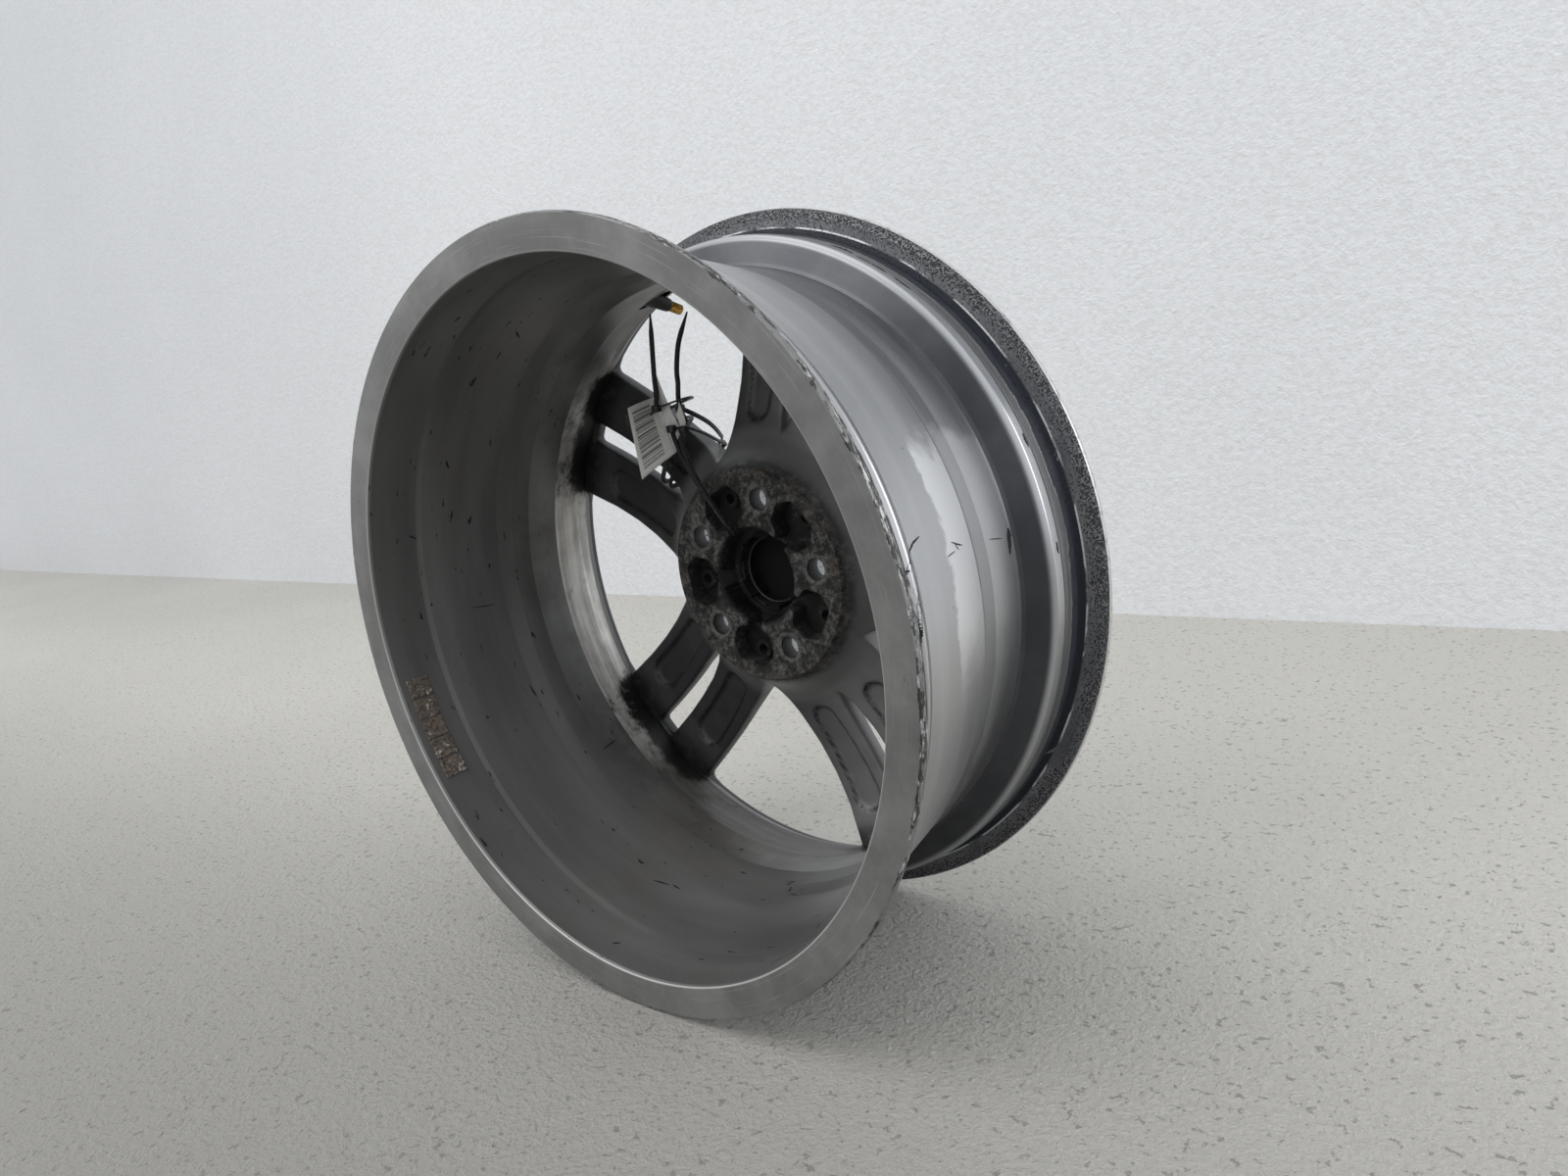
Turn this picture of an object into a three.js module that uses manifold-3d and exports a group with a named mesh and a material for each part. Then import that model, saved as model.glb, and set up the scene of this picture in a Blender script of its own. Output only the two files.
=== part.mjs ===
// Car alloy wheel, 18 x 7.5J: a one-piece cast wheel with five twin spokes, its snap-in valve, centre cap,
// the adhesive pads of its old balance weights, and the paper stock tag that cable ties hold on a spoke.
// Millimetres, +Z up. The axle runs along Y. +Y is the street side, and -Y is the side that faces the car.
// Geometry is built in the rim's own frame, with y = 0 half way between the flanges. The exported group
// shifts it so that the origin is on the axle, half way between the lip face and the spoke crown.
import * as THREE from "three";
import { mergeVertices } from "three/addons/utils/BufferGeometryUtils.js";
import Module from "manifold-3d";

const wasm = await Module();
wasm.setup();

// ---------- driving dimensions ----------
const GAP = 0.3; // between touching nodes
const SIDES = 80; // facets of the rim, with a flat one at the bottom

const FLANGE_R = 248.3; // outer radius of both flanges
const HALF_WIDTH = 104.9; // half of the width over the flanges
const HALF_SEAT = 95.25; // half of the 7.5 inch width between the flanges
const LIP_INNER_R = 226; // inner radius of the flat inboard lip
const SEAT_R = 231; // bead seat, 18 inch
const WELL_R = 212; // bottom of the drop centre
const WELL_INNER_R = 207; // inside of the drop centre
const CROWN_Y = 112; // outermost point of the spokes

const SPOKES = 5;
const STEP = (2 * Math.PI) / SPOKES;
const FIRST_SPOKE = THREE.MathUtils.degToRad(12.5); // from +Z towards +X
const ROOT_R = 88; // where hub and spokes meet

const PAD_Y = 58.75; // mounting face
const PAD_R = 76.4;
const HUB_FRONT_Y = 97;
const BORE_R = 33.3; // 66.6 mm centring bore
const BOLT_CIRCLE_R = 56; // 5 x 112
const BOLT_HOLE_R = 7.75;
const CAP_R = 34;

const VALVE_ANGLE = THREE.MathUtils.degToRad(-20);
const VALVE_TILT = THREE.MathUtils.degToRad(24); // its tip leans in towards the axle
const VALVE_Y = 61.2; // where its axis crosses the sloped wall of the well
const VALVE_R = 219.5;
const VALVE_HOLE_R = 5.75;

const WEIGHT_COUNT = 5;
const WEIGHT_LENGTH = 14.6;
const WEIGHT_WIDTH = 18;
const WEIGHT_THICKNESS = 1.4;
const WEIGHT_Y = -88;
const WEIGHT_R = 225;
const WEIGHT_ANGLE = THREE.MathUtils.degToRad(-112); // middle of the row
const WEIGHT_PITCH = THREE.MathUtils.degToRad(4.05);

const TIE_WIDTH = 3.6;
const TIE_THICKNESS = 1.3;
const TAG_THICKNESS = 0.9; // two layers of stock

// ---------- materials ----------
const finish = (color, roughness, metalness) =>
  new THREE.MeshStandardMaterial({ color, roughness, metalness });
const silverPaint = finish(0x9a9c9e, 0.4, 0.6);
const greyPaint = finish(0x4a4c4e, 0.6, 0.3);
const corroded = finish(0x4b453e, 0.9, 0.3);
const blackRubber = finish(0x17181a, 0.8, 0);
const brass = finish(0xb08a35, 0.35, 0.9);
const steel = finish(0x8d8f90, 0.35, 0.9);
const capPlastic = finish(0x3c3e40, 0.45, 0);
const rustyPad = finish(0x7d6f60, 0.95, 0);
const paper = finish(0xdcdad2, 0.9, 0);
const blackNylon = finish(0x121314, 0.5, 0);

// ---------- solids ----------
function solidOf(geometry) {
  const bare = geometry.clone();
  bare.deleteAttribute("normal");
  bare.deleteAttribute("uv");
  const merged = mergeVertices(bare, 1e-3);
  return new wasm.Manifold(
    new wasm.Mesh({
      numProp: 3,
      vertProperties: merged.attributes.position.array,
      triVerts: new Uint32Array(merged.index.array),
    }),
  );
}

function geometryOf(solid) {
  const mesh = solid.getMesh();
  return new THREE.BufferGeometry()
    .setAttribute("position", new THREE.BufferAttribute(mesh.vertProperties, 3))
    .setIndex(new THREE.BufferAttribute(mesh.triVerts, 1));
}

const cut = (body, cutters) => cutters.reduce((left, cutter) => left.subtract(cutter), body);
const join = (pieces) => pieces.reduce((whole, piece) => whole.add(piece));

// A profile of [radius, y] points turned about Y. One that doesn't touch the axis is closed on itself.
function turned(profile, sides) {
  const onAxis = profile[0][0] === 0 && profile.at(-1)[0] === 0;
  const points = (onAxis ? profile : [...profile, profile[0]]).map(([r, y]) => new THREE.Vector2(r, y));
  return new THREE.LatheGeometry(points, sides);
}

// As turned, with flats instead of corners at the top, bottom, left and right, and its flats on the radius.
function turnedOnFlats(profile, sides) {
  const spread = 1 / Math.cos(Math.PI / sides);
  return turned(
    profile.map(([r, y]) => [r * spread, y]),
    sides,
  ).rotateY(Math.PI / sides);
}

// A closed outline of [x, z] points, from y0 to y1.
function slab(outline, y0, y1) {
  const shape = new THREE.Shape(outline.map(([x, z]) => new THREE.Vector2(x, z)));
  return new THREE.ExtrudeGeometry(shape, { depth: y1 - y0, bevelEnabled: false })
    .rotateX(Math.PI / 2)
    .translate(0, y1, 0);
}

const polar = (radius, angle) => [radius * Math.sin(angle), radius * Math.cos(angle)];

const arc = (radius, from, to, count) =>
  Array.from({ length: count + 1 }, (_, i) => polar(radius, from + ((to - from) * i) / count));

// The same outline with each corner that has a radius cut to an arc. corners: [x, z, radius].
function rounded(corners, steps) {
  return corners.flatMap(([x, z, radius], i) => {
    const here = new THREE.Vector2(x, z);
    if (!radius) return [here.toArray()];
    const towards = (j) => {
      const [nx, nz] = corners[(j + corners.length) % corners.length];
      return new THREE.Vector2(nx, nz).sub(here).normalize();
    };
    const before = towards(i - 1);
    const after = towards(i + 1);
    const half = Math.acos(before.dot(after)) / 2;
    const reach = radius / Math.tan(half);
    const centre = before.clone().add(after).normalize().multiplyScalar(radius / Math.sin(half)).add(here);
    const start = before.multiplyScalar(reach).add(here).sub(centre);
    const end = after.multiplyScalar(reach).add(here).sub(centre);
    const turn = Math.atan2(start.cross(end), start.dot(end));
    return Array.from({ length: steps + 1 }, (_, k) =>
      start.clone().rotateAround(new THREE.Vector2(), (turn * k) / steps).add(centre).toArray(),
    );
  });
}

// ---------- rim: three rings, divided at the two bead humps ----------
const mirrored = (profile) => profile.map(([r, y]) => [r, -y]);

// Tyre side of the outboard flange, from its tip to the foot of the bead hump.
const flangeTyreSide = [
  [FLANGE_R, HALF_WIDTH - 3.5],
  [FLANGE_R - 1.5, HALF_SEAT + 2.4],
  [FLANGE_R - 5.5, HALF_SEAT + 0.3],
  [SEAT_R + 5, HALF_SEAT],
  [SEAT_R + 1, HALF_SEAT - 3],
  [SEAT_R - 1.2, HALF_SEAT - 17.5],
  [SEAT_R + 1, HALF_SEAT - 21.5],
];
const SPLIT_IN_Y = -70; // between the inboard flange ring and the well
const SPLIT_OUT_Y = 67; // between the well and the outboard flange ring

const inboardFlange = [
  [LIP_INNER_R - 0.8, SPLIT_IN_Y],
  [LIP_INNER_R - 0.4, -HALF_WIDTH + 3],
  [LIP_INNER_R + 0.8, -HALF_WIDTH],
  [FLANGE_R - 1, -HALF_WIDTH],
  ...mirrored(flangeTyreSide),
  [SEAT_R + 0.6, SPLIT_IN_Y],
];

const well = [
  [LIP_INNER_R - 0.8, SPLIT_IN_Y + GAP],
  [SEAT_R + 0.6, SPLIT_IN_Y + GAP],
  [SEAT_R - 1.6, -66],
  [WELL_R + 6, 4],
  [WELL_R + 1, 15],
  [WELL_R, 20],
  [WELL_R, 55],
  [WELL_R + 2.5, 59],
  [SEAT_R - 2, SPLIT_OUT_Y - GAP - 1.6],
  [SEAT_R, SPLIT_OUT_Y - GAP],
  [211.6, SPLIT_OUT_Y - GAP],
  [WELL_INNER_R + 0.4, 51],
  [WELL_INNER_R, 22],
  [WELL_INNER_R + 6.2, 4],
  [LIP_INNER_R - 1.8, -64],
];

const outboardFlange = [
  [211.7, SPLIT_OUT_Y],
  [SEAT_R + 0.3, SPLIT_OUT_Y],
  ...[...flangeTyreSide].reverse(),
  [FLANGE_R - 0.6, HALF_WIDTH - 0.7],
  [FLANGE_R - 3, HALF_WIDTH],
  [236, HALF_WIDTH],
  [228, 103.4],
  [221.2, 100.2],
  [217.5, 93],
];

// Moves a piece built on the valve's axis, with y = 0 in the wall and +y towards its mouth, into the rim.
function alongValve(geometry) {
  const [x, z] = polar(VALVE_R, VALVE_ANGLE);
  return geometry.rotateX(-VALVE_TILT).rotateY(VALVE_ANGLE).translate(x, VALVE_Y, z);
}

// The oblique hole that the valve snaps into: a spot face in the well, the hole, a relief inside the rim.
const valveHole = () =>
  solidOf(
    alongValve(
      turned(
        [
          [0, -25],
          [9.6, -25],
          [9.6, 0],
          [VALVE_HOLE_R, 0],
          [VALVE_HOLE_R, 4.5],
          [10.5, 4.5],
          [10.5, 40],
          [0, 40],
        ],
        24,
      ),
    ),
  );

const rimRing = (profile) => cut(solidOf(turnedOnFlats(profile, SIDES)), [valveHole()]);

// ---------- spokes ----------
const SPOKE_BACK = [
  [ROOT_R, 75.2],
  [94, 80.8],
  [102, 85.2],
  [112, 89],
  [137, 95],
  [161, 98],
  [186, 98],
  [214, 94],
];
const SPOKE_FRONT = [
  [229, 103.9],
  [217, 106.4],
  [205, 108.6],
  [186, 111],
  [168, CROWN_Y],
  [150, 111],
  [125, 107.4],
  [105, 102.8],
  [ROOT_R, 99],
];
// The spoke's end follows the inside and the front of the outboard ring.
const SPOKE_END = [
  [217.5 - GAP, 93 + GAP],
  [221.2 - GAP, 100.2 + GAP],
  [228, 103.4 + GAP],
];
const spokeShell = [...SPOKE_BACK, ...SPOKE_END, ...SPOKE_FRONT].map(([r, y]) => [
  r === ROOT_R ? r + GAP : r,
  y,
]);

// The outer edge of a twin spoke, as [along, aside] from its own centre line.
const outerEdge = new THREE.QuadraticBezierCurve(
  new THREE.Vector2(76, 50.8),
  new THREE.Vector2(110, 46.5),
  new THREE.Vector2(213, 54.7),
);
const EDGE_STEPS = 8;
const HALF_STEP = STEP / 2;

// Window between two twin spokes, centred on +Z: two spoke edges, a rounded corner at the hub, and two
// rounded corners at the rim.
function windowOutline() {
  const right = outerEdge.getPoints(EDGE_STEPS).map(({ x: along, y: aside }) => [
    along * Math.sin(HALF_STEP) - aside * Math.cos(HALF_STEP),
    along * Math.cos(HALF_STEP) + aside * Math.sin(HALF_STEP),
  ]);
  const flank = right.filter(([x]) => x > 7.5);
  const [rimX, rimZ] = flank.at(-1);
  const rimAngle = Math.atan2(rimX, rimZ);
  const corner = [...flank.slice(0, -1).map((p) => [...p, 0]), [rimX, rimZ, 7]];
  const rimEdge = arc(Math.hypot(rimX, rimZ) + 1.5, rimAngle * 0.8, -rimAngle * 0.8, 6);
  const rimArc = rimEdge.map((p) => [...p, 0]);
  const left = [...corner].reverse().map(([x, z, radius]) => [-x, z, radius]);
  const hubCorner = [0, flank[0][1] - flank[0][0] * 1.2, 9];
  return rounded([hubCorner, ...corner, ...rimArc, ...left], 4);
}

// Slot that parts the two spokes of a pair, along +Z: pointed at the hub, widest and rounded at the rim.
function slotOutline() {
  const side = [
    [0.6, 100.5, 0],
    [3.9, 112, 0],
    [6.2, 134, 0],
    [7.2, 165, 0],
    [8.3, 205, 0],
    [8.5, 215, 4],
  ];
  return rounded([...side, ...[...side].reverse().map(([x, z, radius]) => [-x, z, radius])], 3);
}

function sectorOutline() {
  const half = HALF_STEP - GAP / 2 / ROOT_R;
  return [...arc(ROOT_R - 3, -half, half, 4), ...arc(FLANGE_R, half, -half, 6)];
}

function twinSpoke() {
  const shell = solidOf(turned(spokeShell, SIDES));
  const through = (outline, angle) => solidOf(slab(outline, 50, 130).rotateY(angle));
  return cut(shell.intersect(through(sectorOutline(), 0)), [
    through(windowOutline(), HALF_STEP),
    through(windowOutline(), -HALF_STEP),
    through(slotOutline(), 0),
  ]);
}

// ---------- hub ----------
const hubProfile = [
  [BORE_R + 2.5, PAD_Y],
  [PAD_R, PAD_Y],
  [PAD_R + 1, PAD_Y + 2],
  [82, 68],
  [ROOT_R, 75.2],
  [ROOT_R, 99],
  [60, HUB_FRONT_Y],
  [CAP_R + 3, HUB_FRONT_Y - 1],
  [CAP_R + 0.5, HUB_FRONT_Y - 2],
  [CAP_R + 0.5, 91],
  [31, 91],
  [31, 79],
  [28.5, 78],
  [28.5, 74],
  [BORE_R, 74],
  [BORE_R, PAD_Y + 2.5],
];

// Bolt hole with its conical seat and the pocket for the bolt head on the street side.
const boltHole = () =>
  solidOf(
    turned(
      [
        [0, PAD_Y - 5],
        [BOLT_HOLE_R, PAD_Y - 5],
        [BOLT_HOLE_R, 71],
        [14.5, 78],
        [14.5, 105],
        [0, 105],
      ],
      24,
    ).translate(0, 0, BOLT_CIRCLE_R),
  );

// Lightening pocket between two bolt holes, with a narrow mouth into the bore and a drilled dimple.
const POCKET_DEPTH = 14;
const DIMPLE_R = 59;
function pocket() {
  const half = [
    [5.5, BORE_R - 4, 0],
    [5.5, 39.5, 2],
    [15, 42.5, 5],
    [18.5, 55, 5],
    [12, 66, 5],
  ];
  const outline = rounded([...half, ...[...half].reverse().map(([x, z, radius]) => [-x, z, radius])], 3);
  const dimple = new THREE.CylinderGeometry(4, 4, 30, 12).translate(0, PAD_Y + 6, DIMPLE_R);
  return solidOf(slab(outline, PAD_Y - 5, PAD_Y + POCKET_DEPTH)).add(solidOf(dimple));
}

function hub() {
  const cutters = [];
  for (let i = 0; i < SPOKES; i++) {
    const turn = (solid, angle) => solid.rotate([0, THREE.MathUtils.radToDeg(angle), 0]);
    cutters.push(turn(boltHole(), FIRST_SPOKE + i * STEP), turn(pocket(), FIRST_SPOKE + (i + 0.5) * STEP));
  }
  return cut(solidOf(turned(hubProfile, SIDES)), cutters);
}

// ---------- centre cap and its spring ring ----------
const CAP_LEGS = 6;
function centreCap() {
  const disc = solidOf(
    turned(
      [
        [0, 91.4],
        [CAP_R, 91.4],
        [CAP_R, 95.5],
        [CAP_R - 3, 97.5],
        [0, 99],
      ],
      36,
    ),
  );
  const leg = [
    [25.6, 91.8],
    [25.6, 71.5],
    [27.6, 71.5],
    [29.4, 72.6],
    [28, 73.6],
    [28, 91.8],
  ];
  const ring = solidOf(turned(leg, 36));
  const legs = [];
  for (let i = 0; i < CAP_LEGS; i++) {
    const wedge = slab([[0, 0], ...arc(40, -0.25, 0.25, 2)], 60, 95).rotateY((i * 2 * Math.PI) / CAP_LEGS);
    legs.push(ring.intersect(solidOf(wedge)));
  }
  return join([disc, ...legs]);
}

// A wire ring, open at one side, that presses the cap's legs outwards.
function capSpring() {
  const points = arc(24.2, 0.2, 2 * Math.PI - 0.2, 28).map(([x, z]) => new THREE.Vector3(x, 80, z));
  const path = new THREE.CatmullRomCurve3(points);
  const round = arc(0.9, 0, 2 * Math.PI * (7 / 8), 7);
  const section = new THREE.Shape(round.map(([x, y]) => new THREE.Vector2(x, y)));
  return solidOf(new THREE.ExtrudeGeometry(section, { steps: 28, bevelEnabled: false, extrudePath: path }));
}

// ---------- snap-in valve, built on its own axis ----------
const valveTurned = (profile) => solidOf(alongValve(turned(profile, 20)));

const valveRubber = () =>
  valveTurned([
    [4.1, -13],
    [8, -13],
    [9, -11],
    [9, -GAP],
    [VALVE_HOLE_R - GAP, -GAP],
    [VALVE_HOLE_R - GAP, 4.8],
    [7.2, 5.2],
    [6.4, 12],
    [4.9, 27],
    [4.1, 28],
  ]);

const valveStem = () =>
  valveTurned([
    [2.4, -12],
    [3.8, -12],
    [3.8, 38],
    [3.4, 38.6],
    [2.4, 38.6],
  ]);

const coreHousing = () =>
  valveTurned([
    [1.1, 18],
    [2.1, 18],
    [2.1, 36],
    [1.1, 36],
  ]);

const corePin = () =>
  valveTurned([
    [0, 15.6],
    [0.8, 15.6],
    [0.8, 37.4],
    [0, 38],
  ]);

const coreSeal = () =>
  valveTurned([
    [1.1, 15.4],
    [2, 15.4],
    [2, 17.6],
    [1.1, 17.6],
  ]);

const coreSpring = () =>
  valveTurned([
    [1.1, 5.2],
    [2, 5.2],
    [2, 13.4],
    [1.1, 13.4],
  ]);

// ---------- adhesive pads left by the balance weights ----------
function weightPad(index) {
  const angle = WEIGHT_ANGLE - (index - (WEIGHT_COUNT - 1) / 2) * WEIGHT_PITCH;
  const half = WEIGHT_LENGTH / 2 / WEIGHT_R;
  const outerR = WEIGHT_R - 1.2;
  const outline = [...arc(outerR, -half, half, 3), ...arc(outerR - WEIGHT_THICKNESS, half, -half, 3)];
  return solidOf(slab(outline, WEIGHT_Y - WEIGHT_WIDTH / 2, WEIGHT_Y + WEIGHT_WIDTH / 2).rotateY(angle));
}

// ---------- cable ties and tag ----------
// The ties hang on the spoke that points up and left, so most of their points are given along and beside it.
const TIED_SPOKE = FIRST_SPOKE + 4 * STEP;

function onSpoke([along, aside, y]) {
  const cos = Math.cos(TIED_SPOKE);
  const sin = Math.sin(TIED_SPOKE);
  return [along * sin + aside * cos, y, along * cos - aside * sin];
}

function strap(points, steps, spare = 0) {
  const thick = TIE_THICKNESS / 2 + spare;
  const wide = TIE_WIDTH / 2 + spare;
  const corners = [[-thick, -wide], [thick, -wide], [thick, wide], [-thick, wide]];
  const extrudePath = new THREE.CatmullRomCurve3(points.map(([x, y, z]) => new THREE.Vector3(x, y, z)));
  const shape = new THREE.Shape(corners.map(([x, y]) => new THREE.Vector2(x, y)));
  return solidOf(new THREE.ExtrudeGeometry(shape, { steps, bevelEnabled: false, extrudePath }));
}

const tieHead = ([x, y, z]) => solidOf(new THREE.BoxGeometry(6.4, 5.4, 5.4).translate(x, y, z));

// A tie is one moulding: a head, the strap that leaves it and comes back to it, and the tail beyond it.
const tie = ({ head, loop, tail }) =>
  join([
    tieHead(head),
    strap([head, ...loop, head], loop.length * 4),
    strap([head, ...tail], tail.length * 3),
  ]);

const lowerTie = {
  head: [-66, 64, 108],
  loop: [
    [104, 64, 70],
    [94, 63, 79],
    [88, 57, 92],
    [92, 51, 105],
    [102, 36, 108],
    [111, 18, 109],
    [117, 8, 109],
    [121, 1, 106.5],
    [122, 0, 98],
    [121, 1, 90],
    [117, 12, 84],
    [114, 34, 79],
    [112, 50, 72],
  ].map(onSpoke),
  tail: [[-59, 59, 100], [-53, 57, 90], [-46, 56.4, 78], [-37, 56, 61]],
};

const upperTie = {
  head: [-60, 70, 122],
  loop: [
    [104, 73, 77],
    [97, 68, 87],
    [94, 59, 98],
    [98, 50, 107.4],
    [108, 34, 109],
    [118, 18, 109.8],
    [125, 8, 109.8],
    [129, 1, 107.5],
    [130, 0, 98],
    [129, 1, 90],
    [125, 14, 83],
    [121, 36, 80],
    [116, 54, 76],
    [109, 61, 78],
  ].map(onSpoke),
  tail: [[-56, 66, 130], [-51, 63, 140], [-49, 62, 150], [-44, 63, 168], [-34, 66, 188]],
};

const longTie = {
  head: [-51, 61, 107],
  loop: [[-53, 70, 111], [-57, 77, 114], [-63.5, 78.5, 114.7], [-65, 72, 112.4], [-58.5, 67.5, 112.8]],
  tail: [[-51, 58, 99], [-45, 54, 88], [-36, 51, 74], [-22, 48.5, 55], [-2, 46, 32]],
};

const tagTie = {
  head: [-72, 58, 124],
  loop: [
    [-80, 61, 121],
    [-86, 69, 120],
    [-80, 78, 122],
    [-66, 80, 126],
    [-54, 77, 128],
    [-49, 68, 129],
    [-57, 59, 127],
  ],
  tail: [[-72, 60, 134], [-71, 60, 147], [-69, 61, 170], [-67, 62, 191]],
};

// A rectangle of the tag's stock with a corner at origin and its sides along and across, both [x, y, z].
function leaf(origin, along, across, length, width) {
  const x = new THREE.Vector3(...along).normalize();
  const z = x.clone().cross(new THREE.Vector3(...across)).normalize();
  const y = z.clone().cross(x);
  const place = new THREE.Matrix4().makeBasis(x, y, z).setPosition(...origin);
  const stock = new THREE.BoxGeometry(length, width, TAG_THICKNESS).translate(length / 2, width / 2, 0);
  return solidOf(stock.applyMatrix4(place));
}

// The folded tag: the printed leaf, and the shorter one behind it. The tie passes through both.
function tag() {
  const fold = [-14, 2, 41];
  const printed = leaf([-71.5, 68, 88], fold, [-14.3, -22.7, -3.8], 48, 29);
  const behind = leaf([-78.3, 69, 108], fold, [13, 5, 6], 31, 12);
  return printed.add(behind).subtract(strap([tagTie.head, ...tagTie.loop, tagTie.head], 28, 0.5));
}

// ---------- assembly ----------
const wheel = new THREE.Group();

function add(name, solid, material, angle = 0) {
  const mesh = new THREE.Mesh(geometryOf(solid), material);
  mesh.name = name;
  mesh.rotation.y = angle;
  wheel.add(mesh);
}

add("rim_inboard_flange", rimRing(inboardFlange), silverPaint);
add("rim_well", rimRing(well), silverPaint);
add("rim_outboard_flange", rimRing(outboardFlange), silverPaint);
add("hub", hub(), corroded);
const spokeSolid = twinSpoke();
for (let i = 0; i < SPOKES; i++) {
  add(`twin_spoke_${i + 1}`, spokeSolid, greyPaint, FIRST_SPOKE + i * STEP);
}
add("centre_cap", centreCap(), capPlastic);
add("centre_cap_spring", capSpring(), steel);
add("valve_rubber_body", valveRubber(), blackRubber);
add("valve_stem", valveStem(), brass);
add("valve_core_housing", coreHousing(), brass);
add("valve_core_pin", corePin(), brass);
add("valve_core_seal", coreSeal(), blackRubber);
add("valve_core_spring", coreSpring(), steel);
for (let i = 0; i < WEIGHT_COUNT; i++) add(`weight_pad_${i + 1}`, weightPad(i), rustyPad);
add("cable_tie_lower", tie(lowerTie), blackNylon);
add("cable_tie_upper", tie(upperTie), blackNylon);
add("cable_tie_long", tie(longTie), blackNylon);
add("cable_tie_tag", tie(tagTie), blackNylon);
add("paper_tag", tag(), paper);

const part = new THREE.Group();
wheel.position.y = (HALF_WIDTH - CROWN_Y) / 2;
part.add(wheel);

export default part;
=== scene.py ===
import math
from functools import cached_property
from itertools import product
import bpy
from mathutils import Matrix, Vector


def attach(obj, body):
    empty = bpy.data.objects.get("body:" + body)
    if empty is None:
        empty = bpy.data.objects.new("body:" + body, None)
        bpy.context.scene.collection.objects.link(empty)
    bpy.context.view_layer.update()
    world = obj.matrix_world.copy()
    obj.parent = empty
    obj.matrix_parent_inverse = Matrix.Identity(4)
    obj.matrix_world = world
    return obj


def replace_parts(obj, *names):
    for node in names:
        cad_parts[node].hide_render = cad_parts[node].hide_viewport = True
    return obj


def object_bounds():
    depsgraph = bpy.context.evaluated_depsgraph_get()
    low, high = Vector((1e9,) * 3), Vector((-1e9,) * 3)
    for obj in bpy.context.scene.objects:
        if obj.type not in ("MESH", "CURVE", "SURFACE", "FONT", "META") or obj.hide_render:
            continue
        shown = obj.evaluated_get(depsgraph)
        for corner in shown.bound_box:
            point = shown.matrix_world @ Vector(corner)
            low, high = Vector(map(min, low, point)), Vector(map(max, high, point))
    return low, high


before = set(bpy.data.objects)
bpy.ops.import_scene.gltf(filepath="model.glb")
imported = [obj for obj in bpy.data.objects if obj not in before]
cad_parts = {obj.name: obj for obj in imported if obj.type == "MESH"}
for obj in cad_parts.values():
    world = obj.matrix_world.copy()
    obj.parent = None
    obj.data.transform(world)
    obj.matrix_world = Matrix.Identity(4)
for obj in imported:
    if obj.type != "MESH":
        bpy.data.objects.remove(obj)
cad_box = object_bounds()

from types import SimpleNamespace

import bpy
import numpy as np
from mathutils import Matrix, Vector, kdtree, noise
from mathutils.geometry import delaunay_2d_cdt

# A used car alloy wheel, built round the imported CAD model. Shapes are worked out in millimetres in the rim's
# own frame (y = 0 half way between the flanges, +y the street side), and make_mesh moves them to the row
# frame. Materials read places in metres in the row frame.
MM = 0.001
RIM_TO_ROW_Y = -3.55

# ---------- sizes, as in the CAD ----------
FLANGE_R = 248.3
HALF_WIDTH = 104.9
STEP = 2 * math.pi / 5
FIRST_SPOKE = math.radians(12.5)
BORE_R = 33.3
BOLT_CIRCLE_R = 56
BOLT_HOLE_R = 7.75
BOLT_POCKET_R = 14.5
DIMPLE_R = 59
PAD_Y = 58.75
PAD_R = 76.4
POCKET_Y = 72.75
FACE_R = 229
VALVE_ANGLE = math.radians(-20)
VALVE_TILT = math.radians(24)
VALVE_R = 219.5
VALVE_Y = 61.2
VALVE_HOLE_R = 5.75
WEIGHT_ANGLE = math.radians(-112)
WEIGHT_PITCH = math.radians(4.05)

# ---------- sizes that only the visual model has ----------
RIM_SIDES = 400
EDGE_ROUNDING = 2.6
GRID = 2.3  # spacing of the points on hub and spokes
PANEL_FROM = (113, 27.5)  # along and beside the centre line of a twin spoke
PANEL_TO = (177, 31)
PANEL_HALF_WIDTH = 12
PANEL_DEPTH = 2.6
FACE_BORE_R = 28.5
FOAM_R = 225.3  # the barrel's surface under the foam pads
FOAM_Y = -88
TIE_PITCH = 1.1  # between the ridges across a cable tie


# ---------- meshes ----------
def add_to_scene(name, data):
    obj = bpy.data.objects.new(name, data)
    bpy.context.scene.collection.objects.link(obj)
    return obj


def make_mesh(name, points, faces):
    """A mesh in the row frame from points in millimetres in the rim frame."""
    moved = (np.asarray(points, float) + (0, RIM_TO_ROW_Y, 0)) * MM
    mesh = bpy.data.meshes.new(name)
    mesh.from_pydata(moved.tolist(), [], faces)
    return mesh


def make_object(name, points, faces, materials, zones=None, sharp=35):
    """An object that rides on the wheel. zones gives each face's material index."""
    mesh = make_mesh(name, points, faces)
    for material in materials:
        mesh.materials.append(material)
    if zones is not None:
        mesh.polygons.foreach_set("material_index", zones)
    mesh.shade_smooth()
    mesh.set_sharp_from_angle(angle=math.radians(sharp))
    mesh.update()
    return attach(add_to_scene(name, mesh), "wheel")


def store(obj, name, values):
    """Keeps one number for each vertex, for a material to read."""
    obj.data.attributes.new(name, "FLOAT", "POINT").data.foreach_set("value", np.asarray(values, np.float32))


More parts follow.
